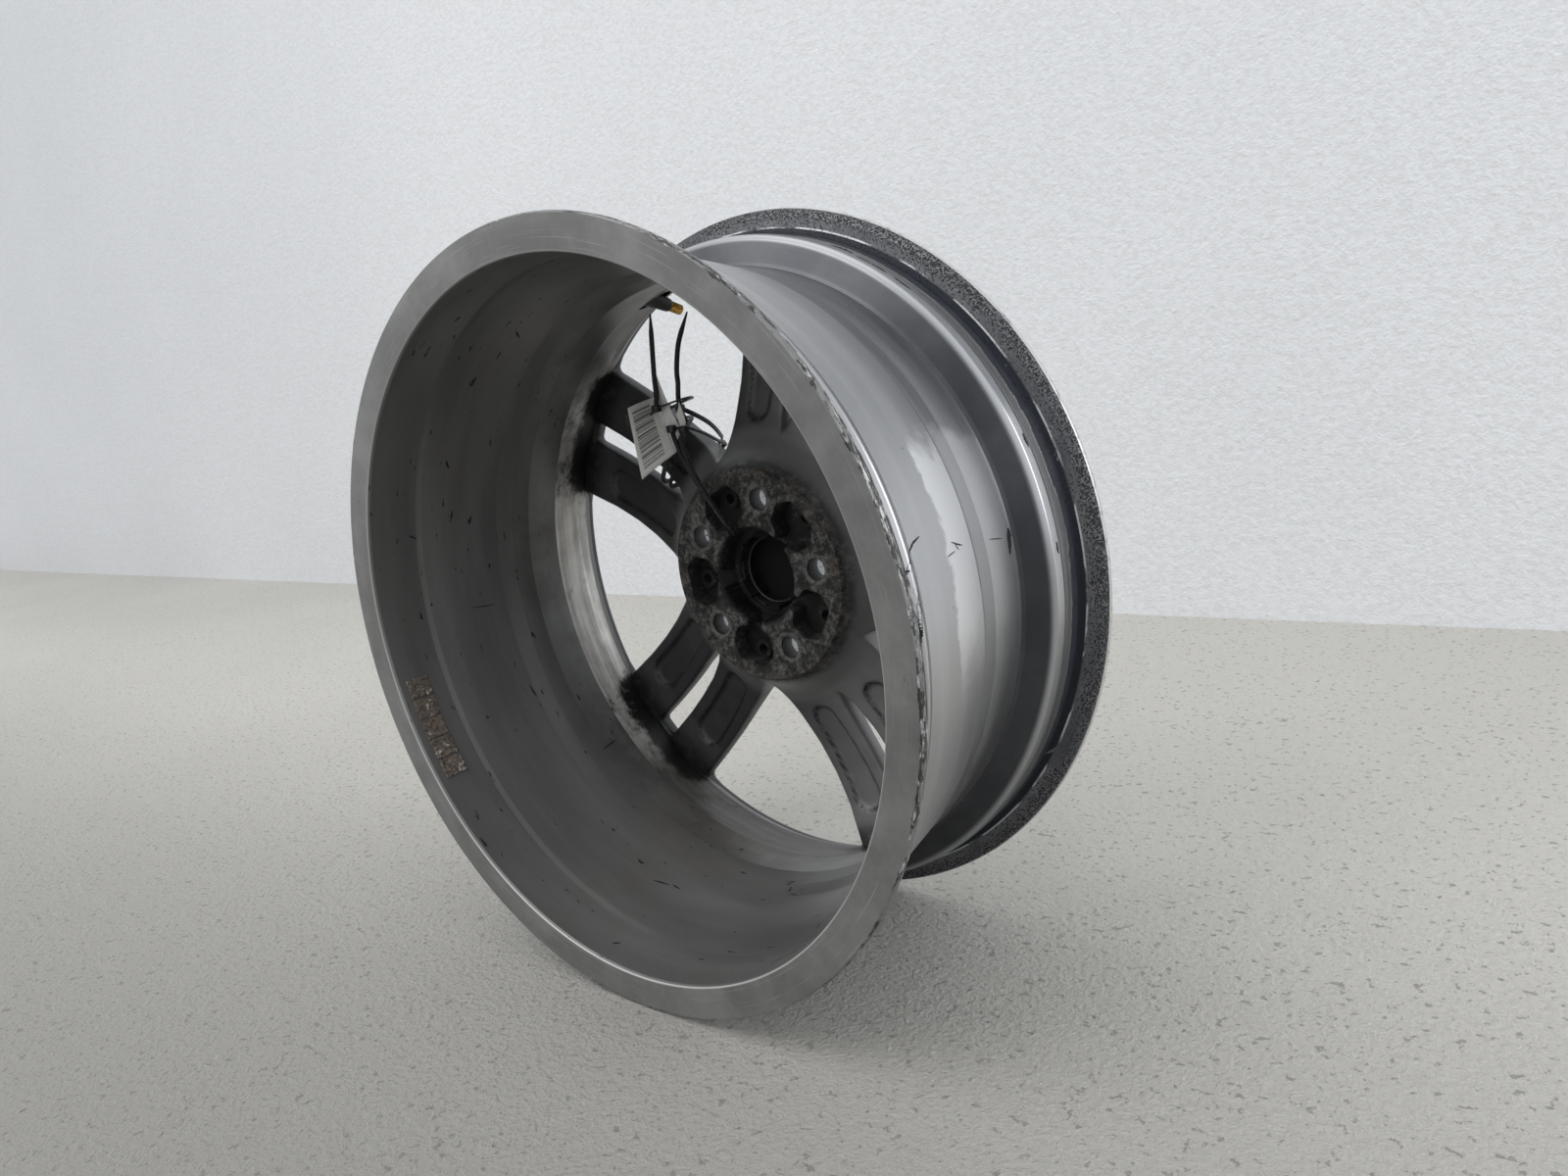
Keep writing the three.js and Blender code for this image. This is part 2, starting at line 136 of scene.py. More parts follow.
def filleted(corners, steps=5):
    """A closed outline of corners (a, b, radius, *rest) with each corner rounded, as (a, b, *rest)."""
    result = []
    for i, (a, b, radius, *rest) in enumerate(corners):
        here = np.array((a, b), float)
        before = np.array(corners[i - 1][:2], float) - here
        after = np.array(corners[(i + 1) % len(corners)][:2], float) - here
        half = math.acos(np.clip(before @ after / np.linalg.norm(before) / np.linalg.norm(after), -1, 1)) / 2
        room = 0.45 * min(np.linalg.norm(before), np.linalg.norm(after))
        reach = min(radius / math.tan(half), room) if half < 1.55 else 0
        if reach < 0.02:
            result.append((a, b, *rest))
            continue
        start = here + before / np.linalg.norm(before) * reach
        end = here + after / np.linalg.norm(after) * reach
        for k in range(steps + 1):
            t = k / steps
            point = (1 - t) ** 2 * start + 2 * t * (1 - t) * here + t * t * end
            result.append((*point, *rest))
    return result


def lathe(profile, sides, closed=True):
    """Points and faces of (radius, y) pairs turned about the axle."""
    angles = np.arange(sides) * 2 * math.pi / sides
    r, y = np.array([p[:2] for p in profile], float).T
    x, z = np.outer(np.sin(angles), r), np.outer(np.cos(angles), r)
    points = np.stack([x, np.broadcast_to(y, x.shape), z], axis=-1).reshape(-1, 3)
    n = len(profile)
    spans = n if closed else n - 1
    faces = [
        (i * n + j, i * n + (j + 1) % n, (i + 1) % sides * n + (j + 1) % n, (i + 1) % sides * n + j)
        for i in range(sides)
        for j in range(spans)
    ]
    return points, faces


def polar(radius, angle):
    return np.array([radius * math.sin(angle), radius * math.cos(angle)])


# ---------- node helpers ----------
class Graph:
    """A material's nodes, written as calls that return sockets."""

    def __init__(self, name):
        self.material = bpy.data.materials.new(name)
        self.material.use_nodes = True
        self.tree = self.material.node_tree
        self.shader = self.tree.nodes["Principled BSDF"]

    def node(self, kind, inputs=(), **settings):
        made = self.tree.nodes.new(kind)
        for key, value in settings.items():
            setattr(made, key, value)
        for key, value in dict(inputs).items():
            self.put(made.inputs[key], value)
        return made

    def put(self, socket, value):
        if isinstance(value, bpy.types.NodeSocket):
            self.tree.links.new(value, socket)
        elif isinstance(value, tuple) and socket.type == "RGBA":
            socket.default_value = (*value, 1)
        else:
            socket.default_value = value

    def math(self, operation, a, b=0.0):
        return self.node("ShaderNodeMath", {0: a, 1: b}, operation=operation).outputs[0]

    def plus(self, a, b):
        return self.math("ADD", a, b)

    def minus(self, a, b):
        return self.math("SUBTRACT", a, b)

    def larger(self, a, b):
        return self.math("MAXIMUM", a, b)

    def times(self, *values):
        result = values[0]
        for value in values[1:]:
            result = self.math("MULTIPLY", result, value)
        return result

    def span(self, value, low, high):
        """0 at low, 1 at high, smooth between. low may be above high."""
        inputs = {"Value": value, "From Min": low, "From Max": high}
        return self.node("ShaderNodeMapRange", inputs, interpolation_type="SMOOTHSTEP").outputs["Result"]

    def scaled(self, value, low, high):
        """A 0 to 1 value stretched to low and high."""
        inputs = {"Value": value, "To Min": low, "To Max": high}
        return self.node("ShaderNodeMapRange", inputs).outputs["Result"]

    def mix(self, factor, a, b):
        mixed = self.node("ShaderNodeMix", data_type="RGBA")
        for socket, value in zip([s for s in mixed.inputs if s.enabled], (factor, a, b)):
            self.put(socket, value)
        return mixed.outputs["Result"]

    def noise(self, scale, detail=4, roughness=0.6, vector=None, w=None, distortion=0.0):
        """Noise from 0 to 1. scale is in features a metre where no vector is given."""
        inputs = {"Vector": vector or self.place, "Scale": scale, "Detail": detail, "Roughness": roughness}
        inputs["Distortion"] = distortion
        if w is None:
            return self.node("ShaderNodeTexNoise", inputs).outputs["Fac"]
        return self.node("ShaderNodeTexNoise", {**inputs, "W": w}, noise_dimensions="4D").outputs["Fac"]

    @cached_property
    def place(self):
        return self.node("ShaderNodeTexCoord").outputs["Object"]

    @cached_property
    def axes(self):
        return self.node("ShaderNodeSeparateXYZ", {0: self.place}).outputs

    @cached_property
    def radius(self):
        """Distance from the axle, in metres."""
        x, _, z = self.axes
        return self.math("SQRT", self.plus(self.times(x, x), self.times(z, z)))

    @cached_property
    def angle(self):
        """Angle round the axle, from the top towards +X."""
        x, _, z = self.axes
        return self.math("ARCTAN2", x, z)

    def near_spokes(self, low, high):
        """1 in line with a twin spoke, 0 between two of them."""
        turned = self.times(self.minus(self.angle, FIRST_SPOKE), 5)
        return self.span(self.math("COSINE", turned), low, high)

    def turned_noise(self, around, across, detail=3, roughness=0.55):
        """Noise drawn out round the axle: around and across say how fast it changes each way."""
        x, y, z = self.axes
        unit_x = self.times(self.math("DIVIDE", x, self.radius), around)
        unit_z = self.times(self.math("DIVIDE", z, self.radius), around)
        turned = self.node("ShaderNodeCombineXYZ", {0: unit_x, 1: unit_z, 2: self.times(y, across)})
        return self.noise(1, detail, roughness, turned.outputs[0], self.times(self.radius, across))

    def attribute(self, name):
        return self.node("ShaderNodeAttribute", attribute_name=name).outputs["Fac"]

    def bump(self, height, distance):
        inputs = {"Height": height, "Distance": distance}
        return self.node("ShaderNodeBump", inputs).outputs[0]

    def finish(self, color, roughness, metallic=0.0, normal=None, **plain):
        self.put(self.shader.inputs["Base Color"], color)
        self.put(self.shader.inputs["Roughness"], roughness)
        self.put(self.shader.inputs["Metallic"], metallic)
        if normal is not None:
            self.put(self.shader.inputs["Normal"], normal)
        for key, value in plain.items():
            self.put(self.shader.inputs[key.replace("_", " ")], value)
        return self.material


# ---------- materials ----------
RUBBER_FILM = (0.011, 0.014, 0.021)


def grey(value):
    return (value, value, value)


def barrel_silver(name, dull, clean, bright):
    """Silver paint on the tyre side: fine turned lines, dull streaks, dark chips, and a painted reflection
    with a wider painted sheen round it on the side towards +X, in the colour bright.
    """
    g = Graph(name)
    lines = g.turned_noise(0.6, 900, 2)
    bands = g.turned_noise(0.8, 45, 3)
    clouds = g.noise(14, 5, 0.65)
    chips = g.span(g.noise(170, 3, 0.5, distortion=1.2), 0.735, 0.765)
    paint = g.mix(g.span(bands, 0.3, 0.75), dull, clean)
    paint = g.mix(g.scaled(g.span(clouds, 0.35, 0.8), 0, 0.5), paint, dull)
    # The bright patch and the wider sheen round it on the side towards +X are a painted reflection of the
    # room's light, in the colour bright.
    ragged = g.times(g.minus(g.noise(26, 5, 0.6, distortion=0.4), 0.5), 0.24)
    angle = g.plus(g.angle, ragged)
    along = g.plus(g.axes[1], g.times(ragged, 0.12))
    painted_reflection = g.times(g.span(angle, 1.08, 1.16), g.span(angle, 1.8, 1.6), g.span(along, -0.034, -0.03))
    painted_sheen = g.times(g.span(g.angle, 0.95, 1.4), g.span(g.angle, 1.95, 1.55))
    paint = g.mix(g.times(painted_sheen, 0.35), paint, bright)
    paint = g.mix(g.times(painted_reflection, 0.85), paint, bright)
    color = g.mix(chips, paint, grey(0.03))
    rough = g.plus(g.scaled(clouds, 0.2, 0.32), g.times(lines, 0.1))
    height = g.minus(g.times(lines, 0.6), chips)
    return g.finish(color, rough, g.scaled(chips, 0.92, 0), g.bump(height, 0.00006))


def well_wall():
    """Steep side of the drop centre: silver paint made very dark as painted shade, brightening to a painted
    highlight over the rounded edge of the bead seat.
    """
    g = Graph("well_wall_silver")
    clouds = g.noise(20, 5, 0.65)
    # Painted shade on the steep side, and a painted highlight where it rounds over at the bead seat.
    dull = g.mix(g.span(clouds, 0.3, 0.75), (0.07, 0.072, 0.08), (0.1, 0.103, 0.112))
    color = g.mix(g.span(g.radius, 0.2265, 0.2308), dull, (0.42, 0.43, 0.45))
    return g.finish(color, g.scaled(clouds, 0.28, 0.4), 0.9, g.bump(g.turned_noise(0.6, 900, 2), 0.00005))


def flange_grit():
    """Tyre side of the outboard flange: bead rubber and rough black corrosion over silver paint."""
    g = Graph("flange_grit")
    grit = g.noise(800, 2, 0.75)
    patches = g.noise(30, 6, 0.7, distortion=0.6)
    near_edge = g.span(g.radius, 0.237, 0.2455)
    crust = g.plus(g.times(grit, 0.75), g.times(patches, 0.25))
    black = g.span(g.plus(crust, g.times(near_edge, 0.09)), 0.54, 0.62)
    paint = g.mix(g.span(patches, 0.3, 0.7), (0.12, 0.123, 0.134), (0.24, 0.243, 0.254))
    color = g.mix(black, paint, (0.022, 0.023, 0.026))
    film = g.times(g.span(g.radius, 0.2365, 0.2345), g.span(patches, 0.32, 0.36))
    color = g.mix(film, color, RUBBER_FILM)
    line = g.times(g.span(g.radius, 0.2349, 0.2353), g.span(g.radius, 0.2364, 0.236))
    scored = g.times(line, g.span(g.turned_noise(7, 120, 4), 0.44, 0.52))
    color = g.mix(scored, color, (0.55, 0.56, 0.58))
    return g.finish(color, g.scaled(black, 0.5, 0.9), g.scaled(black, 0.6, 0.1), g.bump(black, 0.0005))


def seat_residue():
    """Bead seat: a smooth film of black rubber, worn through to the paint in streaks."""
    g = Graph("seat_residue")
    streaks = g.turned_noise(1.6, 260, 4)
    spots = g.noise(60, 5, 0.7)
    reach = g.plus(g.span(g.axes[1], 0.0765, 0.088), g.times(g.minus(spots, 0.5), 0.8))
    covered = g.span(g.plus(reach, g.times(g.minus(streaks, 0.5), 1.2)), 0.38, 0.46)
    paint = g.mix(g.span(streaks, 0.3, 0.7), (0.2, 0.202, 0.208), (0.38, 0.385, 0.39))
    film = g.mix(g.span(spots, 0.3, 0.8), RUBBER_FILM, (0.03, 0.035, 0.045))
    color = g.mix(covered, paint, film)
    metal = g.scaled(covered, 0.85, 0.1)
    return g.finish(color, g.scaled(covered, 0.3, 0.5), metal, g.bump(covered, 0.00015))


def lip_paint():
    """Inboard lip and rolled edges: scratched satin grey paint, with black and bare chips at the edge, and a
    painted highlight along the lip's inner rounded edge.
    """
    g = Graph("lip_paint")
    scratches = g.turned_noise(3, 1500, 2, 0.7)
    clouds = g.noise(22, 5, 0.65)
    edge = g.span(g.radius, 0.2455, 0.2479)
    damaged = g.span(g.turned_noise(1.3, 5, 2), 0.4, 0.6)
    rolled = g.span(g.axes[1], -0.1055, -0.101)
    upper = g.times(g.span(g.angle, 0.3, 0.9), g.span(g.angle, 2.3, 1.7))
    ragged = g.plus(g.turned_noise(16, 200, 5, 0.75), g.times(edge, 0.2))
    ragged = g.plus(ragged, g.times(rolled, upper, 0.16))
    chips = g.span(g.plus(ragged, g.times(damaged, 0.06)), 0.71, 0.74)
    bright = g.span(g.turned_noise(26, 500, 4, 0.7), 0.5, 0.6)
    paint = g.mix(g.span(clouds, 0.3, 0.75), grey(0.17), (0.27, 0.27, 0.268))
    paint = g.mix(g.span(scratches, 0.6, 0.72), paint, grey(0.36))
    color = g.mix(chips, paint, g.mix(bright, (0.03, 0.029, 0.028), grey(0.5)))
    # Painted highlight: a pale line along the lip's inner rounded edge.
    color = g.mix(g.span(g.radius, 0.2279, 0.2266), color, (0.46, 0.46, 0.45))
    height = g.minus(g.times(scratches, 0.15), chips)
    return g.finish(color, g.scaled(clouds, 0.38, 0.55), g.scaled(chips, 0.55, 0.2), g.bump(height, 0.00025))


def outer_edge():
    """Street side of the rim: lacquered silver with a pale edge from wear."""
    g = Graph("outer_edge")
    clouds = g.noise(30, 5, 0.6)
    edge = g.span(g.radius, 0.2445, 0.2478)
    wear_and_painted_shade = g.times(g.span(g.noise(120, 4, 0.7), 0.3, 0.5), edge)
    paint = g.mix(g.span(clouds, 0.3, 0.8), (0.25, 0.26, 0.27), (0.32, 0.33, 0.34))
    color = g.mix(wear_and_painted_shade, paint, (0.6, 0.6, 0.59))
    return g.finish(color, g.scaled(clouds, 0.25, 0.35), 0.7, g.bump(clouds, 0.0001), Coat_Weight=0.5)


def chipped_paint():
    """Floor of a scratch or chip: dark primer with specks of bare metal."""
    g = Graph("chipped_paint")
    specks = g.span(g.noise(900, 3, 0.7), 0.58, 0.66)
    color = g.mix(specks, (0.006, 0.006, 0.007), grey(0.07))
    return g.finish(color, g.scaled(specks, 0.9, 0.6), 0, g.bump(specks, 0.00004))


def barrel_grey():
    """Inside of the barrel: dark grey paint with faint bands, brake dust near the spokes and small marks."""
    g = Graph("barrel_grey")
    bands = g.turned_noise(1.1, 34, 4)
    clouds = g.noise(11, 6, 0.65)
    deep = g.span(g.axes[1], -0.02, 0.05)
    paint = g.mix(g.span(bands, 0.3, 0.75), (0.13, 0.13, 0.128), (0.2, 0.2, 0.197))
    paint = g.mix(g.times(deep, g.span(clouds, 0.45, 0.7)), paint, (0.085, 0.082, 0.078))
    tan = g.span(g.noise(8, 4, 0.6), 0.52, 0.66)
    paint = g.mix(g.times(tan, 0.35), paint, (0.15, 0.135, 0.115))
    specks = g.span(g.noise(420, 2, 0.5), 0.75, 0.8)
    scuffs = g.span(g.turned_noise(14, 260, 3, 0.6), 0.665, 0.685)
    rust = g.span(g.noise(60, 6, 0.8), 0.66, 0.74)
    color = g.mix(specks, paint, (0.03, 0.028, 0.027))
    color = g.mix(scuffs, color, (0.02, 0.019, 0.018))
    color = g.mix(g.times(rust, 0.7), color, (0.13, 0.07, 0.045))
    return g.finish(color, g.scaled(clouds, 0.3, 0.5), 0.55, g.bump(g.turned_noise(0.8, 400, 2), 0.00005))


def streaked_band(name, low, high, spread, grain):
    """A band of the barrel beside the windows: brake dust streaks over bare or sanded metal, turned darker as
    painted shade on the side away from +X.
    """
    g = Graph(name)
    streaks = g.turned_noise(2.2, 130, 4)
    patches = g.noise(26, 6, 0.7)
    sand = g.noise(1100, 3, 0.7)
    value = g.plus(g.times(streaks, 0.6), g.times(patches, 0.4))
    streaked = g.span(value, 0.5 - spread, 0.5 + spread)
    dust_and_painted_light = g.mix(streaked, (0.075, 0.072, 0.068), (0.14, 0.136, 0.13))
    # Painted shade: the band turns to a dark streaked colour on the side away from +X.
    color = g.mix(g.span(g.axes[0], -0.175, -0.125), g.mix(streaked, low, high), dust_and_painted_light)
    stain = g.span(g.noise(16, 5, 0.6), 0.6, 0.7)
    color = g.mix(g.times(stain, 0.6), color, (0.03, 0.025, 0.02))
    reach = g.times(g.near_spokes(-0.3, 0.7), g.scaled(g.span(g.axes[1], 0.06, 0.086), 0.2, 0.46))
    smear = g.span(g.plus(reach, g.times(g.noise(55, 5, 0.75), 0.6)), 0.45, 0.62)
    color = g.mix(smear, color, (0.012, 0.011, 0.01))
    return g.finish(color, g.scaled(sand, 0.4, 0.6), 0.35, g.bump(sand, grain))


def spoke_paint(g):
    """Dark grey paint, lighter near the hub, and lighter towards +X as painted light with the side away from
    +X in painted shade, with dirt lines round the panels.
    """
    clouds = g.span(g.noise(13, 6, 0.65), 0.3, 0.75)
    # Painted light and shade: the spokes are lighter towards +X and darker on the other side. They are also
    # lighter near the hub.
    dust_and_painted_light = g.larger(g.span(g.radius, 0.112, 0.096), g.span(g.axes[0], -0.05, 0.06))
    shaded_spoke_paint = g.mix(clouds, (0.05, 0.051, 0.053), (0.085, 0.086, 0.088))
    paint = g.mix(dust_and_painted_light, shaded_spoke_paint, g.mix(clouds, grey(0.2), (0.28, 0.28, 0.279)))
    dirt = g.times(g.attribute("dirt"), g.span(g.noise(90, 5, 0.7), 0.25, 0.55))
    return g.mix(dirt, paint, grey(0.006))


def pad_metal(g, crust, mottle):
    """Bare corroded metal of the hub pad, with rust at its rim and dark rings round the bolt holes."""
    bare = g.mix(g.span(crust, 0.4, 0.64), (0.02, 0.019, 0.018), (0.19, 0.19, 0.185))
    bare = g.mix(g.times(g.span(mottle, 0.46, 0.58), 0.85), bare, (0.016, 0.015, 0.014))
    rusty = g.times(g.span(g.radius, 0.066, 0.075), g.span(mottle, 0.52, 0.42))
    bare = g.mix(g.times(rusty, 0.6), bare, (0.075, 0.055, 0.038))
    to_bolt = g.attribute("to_bolt")
    turned = g.math("SINE", g.times(to_bolt, 4.2))
    rings = g.times(g.span(turned, 0.2, 0.9), g.span(to_bolt, 15, 11))
    return g.mix(g.times(rings, 0.55), bare, grey(0.01))


def cast_grey():
    """Backs of the spokes, the dish and the hub pad."""
    g = Graph("cast_grey")
    crust = g.noise(240, 6, 0.8, distortion=0.5)
    mottle = g.noise(75, 5, 0.75)
    pad = g.attribute("pad")
    color = g.mix(pad, spoke_paint(g), pad_metal(g, crust, mottle))
    # Blackens the pocket floors, and round the bore the same blackening is painted shade.
    color = g.mix(g.times(g.attribute("soot_and_painted_shade"), g.span(mottle, 0.2, 0.5)), color, (0.008, 0.0075, 0.007))
    machined = g.times(g.attribute("machined"), g.span(crust, 0.3, 0.6))
    color = g.mix(machined, color, (0.2, 0.2, 0.19))
    height = g.plus(g.times(g.noise(700, 3, 0.6), 0.12), g.times(pad, crust, 1.6))
    return g.finish(color, g.scaled(pad, 0.42, 0.85), g.scaled(pad, 0.45, 0.15), g.bump(height, 0.0005))


def street_silver():
    """Street side of the spokes: clear-coated silver with a little dust."""
    g = Graph("street_silver")
    clouds = g.noise(9, 5, 0.6)
    dust = g.span(g.noise(55, 6, 0.7), 0.5, 0.9)
    paint = g.mix(g.span(clouds, 0.3, 0.8), (0.34, 0.35, 0.36), (0.4, 0.41, 0.42))
    color = g.mix(g.times(dust, 0.3), paint, (0.16, 0.15, 0.14))
    flake = g.bump(g.noise(2400, 2, 0.5), 0.00002)
    return g.finish(color, g.scaled(dust, 0.26, 0.42), 0.75, flake, Coat_Weight=0.6, Coat_Roughness=0.12)


def rubber():
    g = Graph("valve_rubber_black")
    dust_and_painted_light = g.span(g.noise(120, 5, 0.7), 0.5, 0.8)
    color = g.mix(dust_and_painted_light, (0.011, 0.011, 0.012), (0.05, 0.048, 0.045))
    return g.finish(color, g.scaled(dust_and_painted_light, 0.5, 0.8), 0, g.bump(g.noise(800, 3, 0.6), 0.0001))


def brass():
    g = Graph("valve_brass")
    tarnish = g.span(g.noise(260, 5, 0.7), 0.4, 0.7)
    color = g.mix(tarnish, (0.72, 0.47, 0.13), (0.4, 0.22, 0.05))
    return g.finish(color, g.scaled(tarnish, 0.2, 0.4), 1, g.bump(g.noise(900, 3), 0.00004))


def spring_steel():
    g = Graph("spring_wire")
    marks = g.noise(500, 4, 0.6)
    color = g.mix(g.span(marks, 0.3, 0.7), grey(0.03), (0.1, 0.095, 0.09))
    return g.finish(color, g.scaled(marks, 0.35, 0.6), 0.8, g.bump(marks, 0.00005))


def cap_plastic():
    """Painted silver on the street side, dull black inside, made near black there as painted shade in the
    bore.
    """
    g = Graph("cap_plastic_grey")
    clouds = g.noise(40, 5, 0.6)
    color = g.mix(g.span(clouds, 0.3, 0.7), (0.2, 0.205, 0.21), (0.26, 0.265, 0.27))
    painted = g.span(g.axes[1], 0.0884, 0.0894)
    # Inside the cap is near black: painted shade where the bore looks into it.
    color = g.mix(painted, grey(0.002), color)
    rough = g.minus(1.0, g.times(painted, g.scaled(clouds, 0.6, 0.75)))
    return g.finish(color, rough, g.scaled(painted, 0, 0.3), g.bump(g.noise(900, 3), 0.00004))


def pad_foam():
    """What is left of the tape under the old weights: brown crumbling foam with pale specks."""
    g = Graph("pad_foam")
    crumbs = g.noise(420, 5, 0.8)
    blots = g.noise(170, 4, 0.7, distortion=0.8)
    color = g.mix(g.span(crumbs, 0.35, 0.65), (0.045, 0.035, 0.03), (0.21, 0.17, 0.14))
    color = g.mix(g.span(blots, 0.58, 0.64), color, (0.5, 0.47, 0.43))
    return g.finish(color, 0.92, 0, g.bump(crumbs, 0.0008))


def nylon():
    """Black nylon with the ridges of a cable tie across it."""
    g = Graph("nylon_black")
    grain = g.noise(500, 3, 0.6)
    color = g.mix(g.span(grain, 0.3, 0.7), (0.008, 0.008, 0.009), (0.018, 0.018, 0.02))
    ridges = g.math("SINE", g.times(g.attribute("along"), 2 * math.pi / TIE_PITCH))
    return g.finish(color, g.scaled(grain, 0.22, 0.36), 0, g.bump(g.plus(ridges, grain), 0.00012))


def tag_paper():
    """White tag stock with a row of plain bars that say nothing. u runs along the leaf and v across it."""
    g = Graph("tag_paper")
    u, v = g.attribute("along"), g.attribute("across")
    pulp = g.noise(600, 4, 0.6)
    white = g.mix(g.span(pulp, 0.3, 0.7), (0.68, 0.675, 0.65), (0.78, 0.775, 0.75))
    along_u = g.node("ShaderNodeCombineXYZ", {0: g.times(u, 34.0)}).outputs[0]
    bars = g.span(g.noise(1, 2, 0.9, along_u), 0.49, 0.51)
    inside_u = g.times(g.span(u, 0.09, 0.1), g.span(u, 0.93, 0.92))
    inside_v = g.times(g.span(v, 0.26, 0.27), g.span(v, 0.88, 0.87))
    ink = g.times(bars, inside_u, inside_v, g.attribute("printed"), 0.9)
    color = g.mix(ink, white, (0.03, 0.03, 0.032))
    return g.finish(color, 0.75, 0, g.bump(pulp, 0.00005))


def pale_surface(name, light, dark, scale, distance, roughness, near=1.0):
    """Painted floor or wall. near is how much lightness it keeps in the foreground, where it is darkened as
    painted shade.
    """
    g = Graph(name)
    fine = g.noise(scale, 5, 0.7)
    specks = g.span(g.noise(170, 3, 0.6), 0.61, 0.65)
    color = g.mix(g.span(g.noise(1.5, 4, 0.5), 0.2, 0.8), light, dark)
    wear_and_painted_shade = tuple(c * near for c in dark)
    # Painted shade: the floor darkens towards the foreground.
    color = g.mix(g.span(g.axes[1], 0.3, -0.45), color, wear_and_painted_shade)
    color = g.mix(g.times(specks, 1.2 * (1 - near)), color, (0.16, 0.15, 0.13))
    color = g.mix(g.scaled(g.span(fine, 0.35, 0.6), 0.12, 0), color, (0.3, 0.29, 0.27))
    return g.finish(color, roughness, 0, g.bump(fine, distance))


# ---------- rim ----------
def rim_profile():
    """The rim's section as (r, y, fillet, zone), once round: lip, tyre side, street side, inside."""
    return [
        (226.8, -HALF_WIDTH, 1.4, "lip"),
        (247.6, -HALF_WIDTH, 0.9, "lip"),
        (FLANGE_R, -102.0, 1.5, "lip"),
        (247.2, -98.2, 2.0, "lip"),
        (243.2, -95.6, 3.0, "barrel"),
        (236.0, -95.2, 4.0, "barrel"),
        (232.0, -92.2, 4.0, "barrel"),
        (229.9, -78.2, 3.0, "barrel"),
        (233.2, -74.6, 2.2, "barrel"),
        (230.0, -68.0, 6.0, "barrel"),
        (224.0, -33.0, 9.0, "barrel"),
        (217.2, 6.5, 0.8, "well"),
        (213.4, 13.0, 3.0, "well"),
        (212.2, 27.0, 0.8, "well"),
        (212.0, 57.5, 0.5, "wall"),
        (214.2, 59.0, 0.5, "wall"),
        (228.8, 64.0, 2.4, "wall"),
        (231.6, 67.0, 1.8, "well"),
        (232.0, 73.6, 1.5, "well"),
        (230.3, 77.8, 1.8, "seat"),
        (231.6, 92.4, 2.5, "grit"),
        (235.4, 95.2, 3.0, "grit"),
        (242.8, 95.9, 3.0, "grit"),
        (246.8, 98.2, 1.5, "grit"),
        (247.7, 100.4, 0.3, "street"),
        (248.0, 101.4, 0.8, "street"),
        (FLANGE_R, 103.4, 0.8, "street"),
        (245.5, HALF_WIDTH, 1.5, "street"),
        (236.0, 104.6, 3.0, "street"),
        (228.0, 103.3, 3.0, "street"),
        (221.3, 100.2, 0.8, "inner"),
        (217.6, 93.0, 0.25, "sand"),
        (215.0, 80.5, 1.2, "beige"),
        (207.6, 51.5, 0.25, "inner"),
        (207.0, 24.0, 8.0, "inner"),
        (210.0, 10.0, 14.0, "inner"),
        (213.8, -2.0, 14.0, "inner"),
        (224.0, -62.0, 1.5, "inner"),
        (225.2, -66.0, 1.5, "inner"),
        (225.6, -102.6, 1.2, "inner"),
    ]


def build_rim():
    # The well gets a darker copy of the barrel's silver paint as painted shade, and the barrel zone gets the
    # lit copy. The last colour of each is its painted reflection.
    lit_silver = ((0.31, 0.315, 0.327), (0.45, 0.455, 0.468), (0.98, 0.985, 0.995))
    shaded_silver = ((0.2, 0.205, 0.217), (0.42, 0.425, 0.438), (0.52, 0.525, 0.535))
    materials = {
        "lip": lip_paint(),
        "barrel": barrel_silver("barrel_silver", *lit_silver),
        "well": barrel_silver("well_silver_shaded", *shaded_silver),
        "wall": well_wall(),
        "seat": seat_residue(),
        "grit": flange_grit(),
        "street": outer_edge(),
        "inner": barrel_grey(),
        "sand": streaked_band("sanded_band", (0.42, 0.41, 0.39), (0.82, 0.81, 0.78), 0.12, 0.0004),
        "beige": streaked_band("beige_band", (0.3, 0.285, 0.27), (0.62, 0.61, 0.58), 0.14, 0.00008),
    }
    profile = filleted(rim_profile())
    points, faces = lathe(profile, RIM_SIDES)
    zones = [list(materials).index(zone) for _, _, zone in profile] * RIM_SIDES
    rim = make_object("rim_casting", points, faces, materials.values(), zones=zones)
    drill_valve_hole(rim)
    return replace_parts(rim, "rim_inboard_flange", "rim_well", "rim_outboard_flange")


# Scratches and chips through the paint, as points (degrees from the top, y), a width and a raggedness.
TYRE_SIDE_MARKS = [
    ([(77, -53), (77.5, -62), (79, -74)], 0.9, 0.5),
    ([(79, -72), (80.5, -76), (82.5, -75), (86, -73)], 2.4, 0.9),
    ([(83, -72), (85, -75), (87.5, -76), (90, -77)], 1.6, 0.9),
    ([(79.4, -19), (80, -13), (80.5, -6)], 0.7, 0.6),
    ([(79.9, -15), (80.9, -12)], 0.6, 0.5),
    ([(81.1, -28), (80.8, -17)], 0.5, 0.5),
    ([(81, 55), (82.5, 54), (85, 51)], 3.2, 0.7),
    ([(81.5, 32), (82.2, 46)], 0.5, 0.4),
    ([(68.2, 72.6), (69, 72.1), (70.4, 72.4)], 1.3, 1.0),
    ([(84.7, 71.3), (86.5, 71.6)], 1.4, 0.8),
    ([(29, 72.6), (32, 73.2), (35, 72.6)], 1.6, 1.0),
    ([(36.5, 73), (38, 72.4), (40, 72.8)], 1.1, 0.9),
    ([(22, 80), (24, 80.6), (27, 80)], 2.6, 1.0),
]
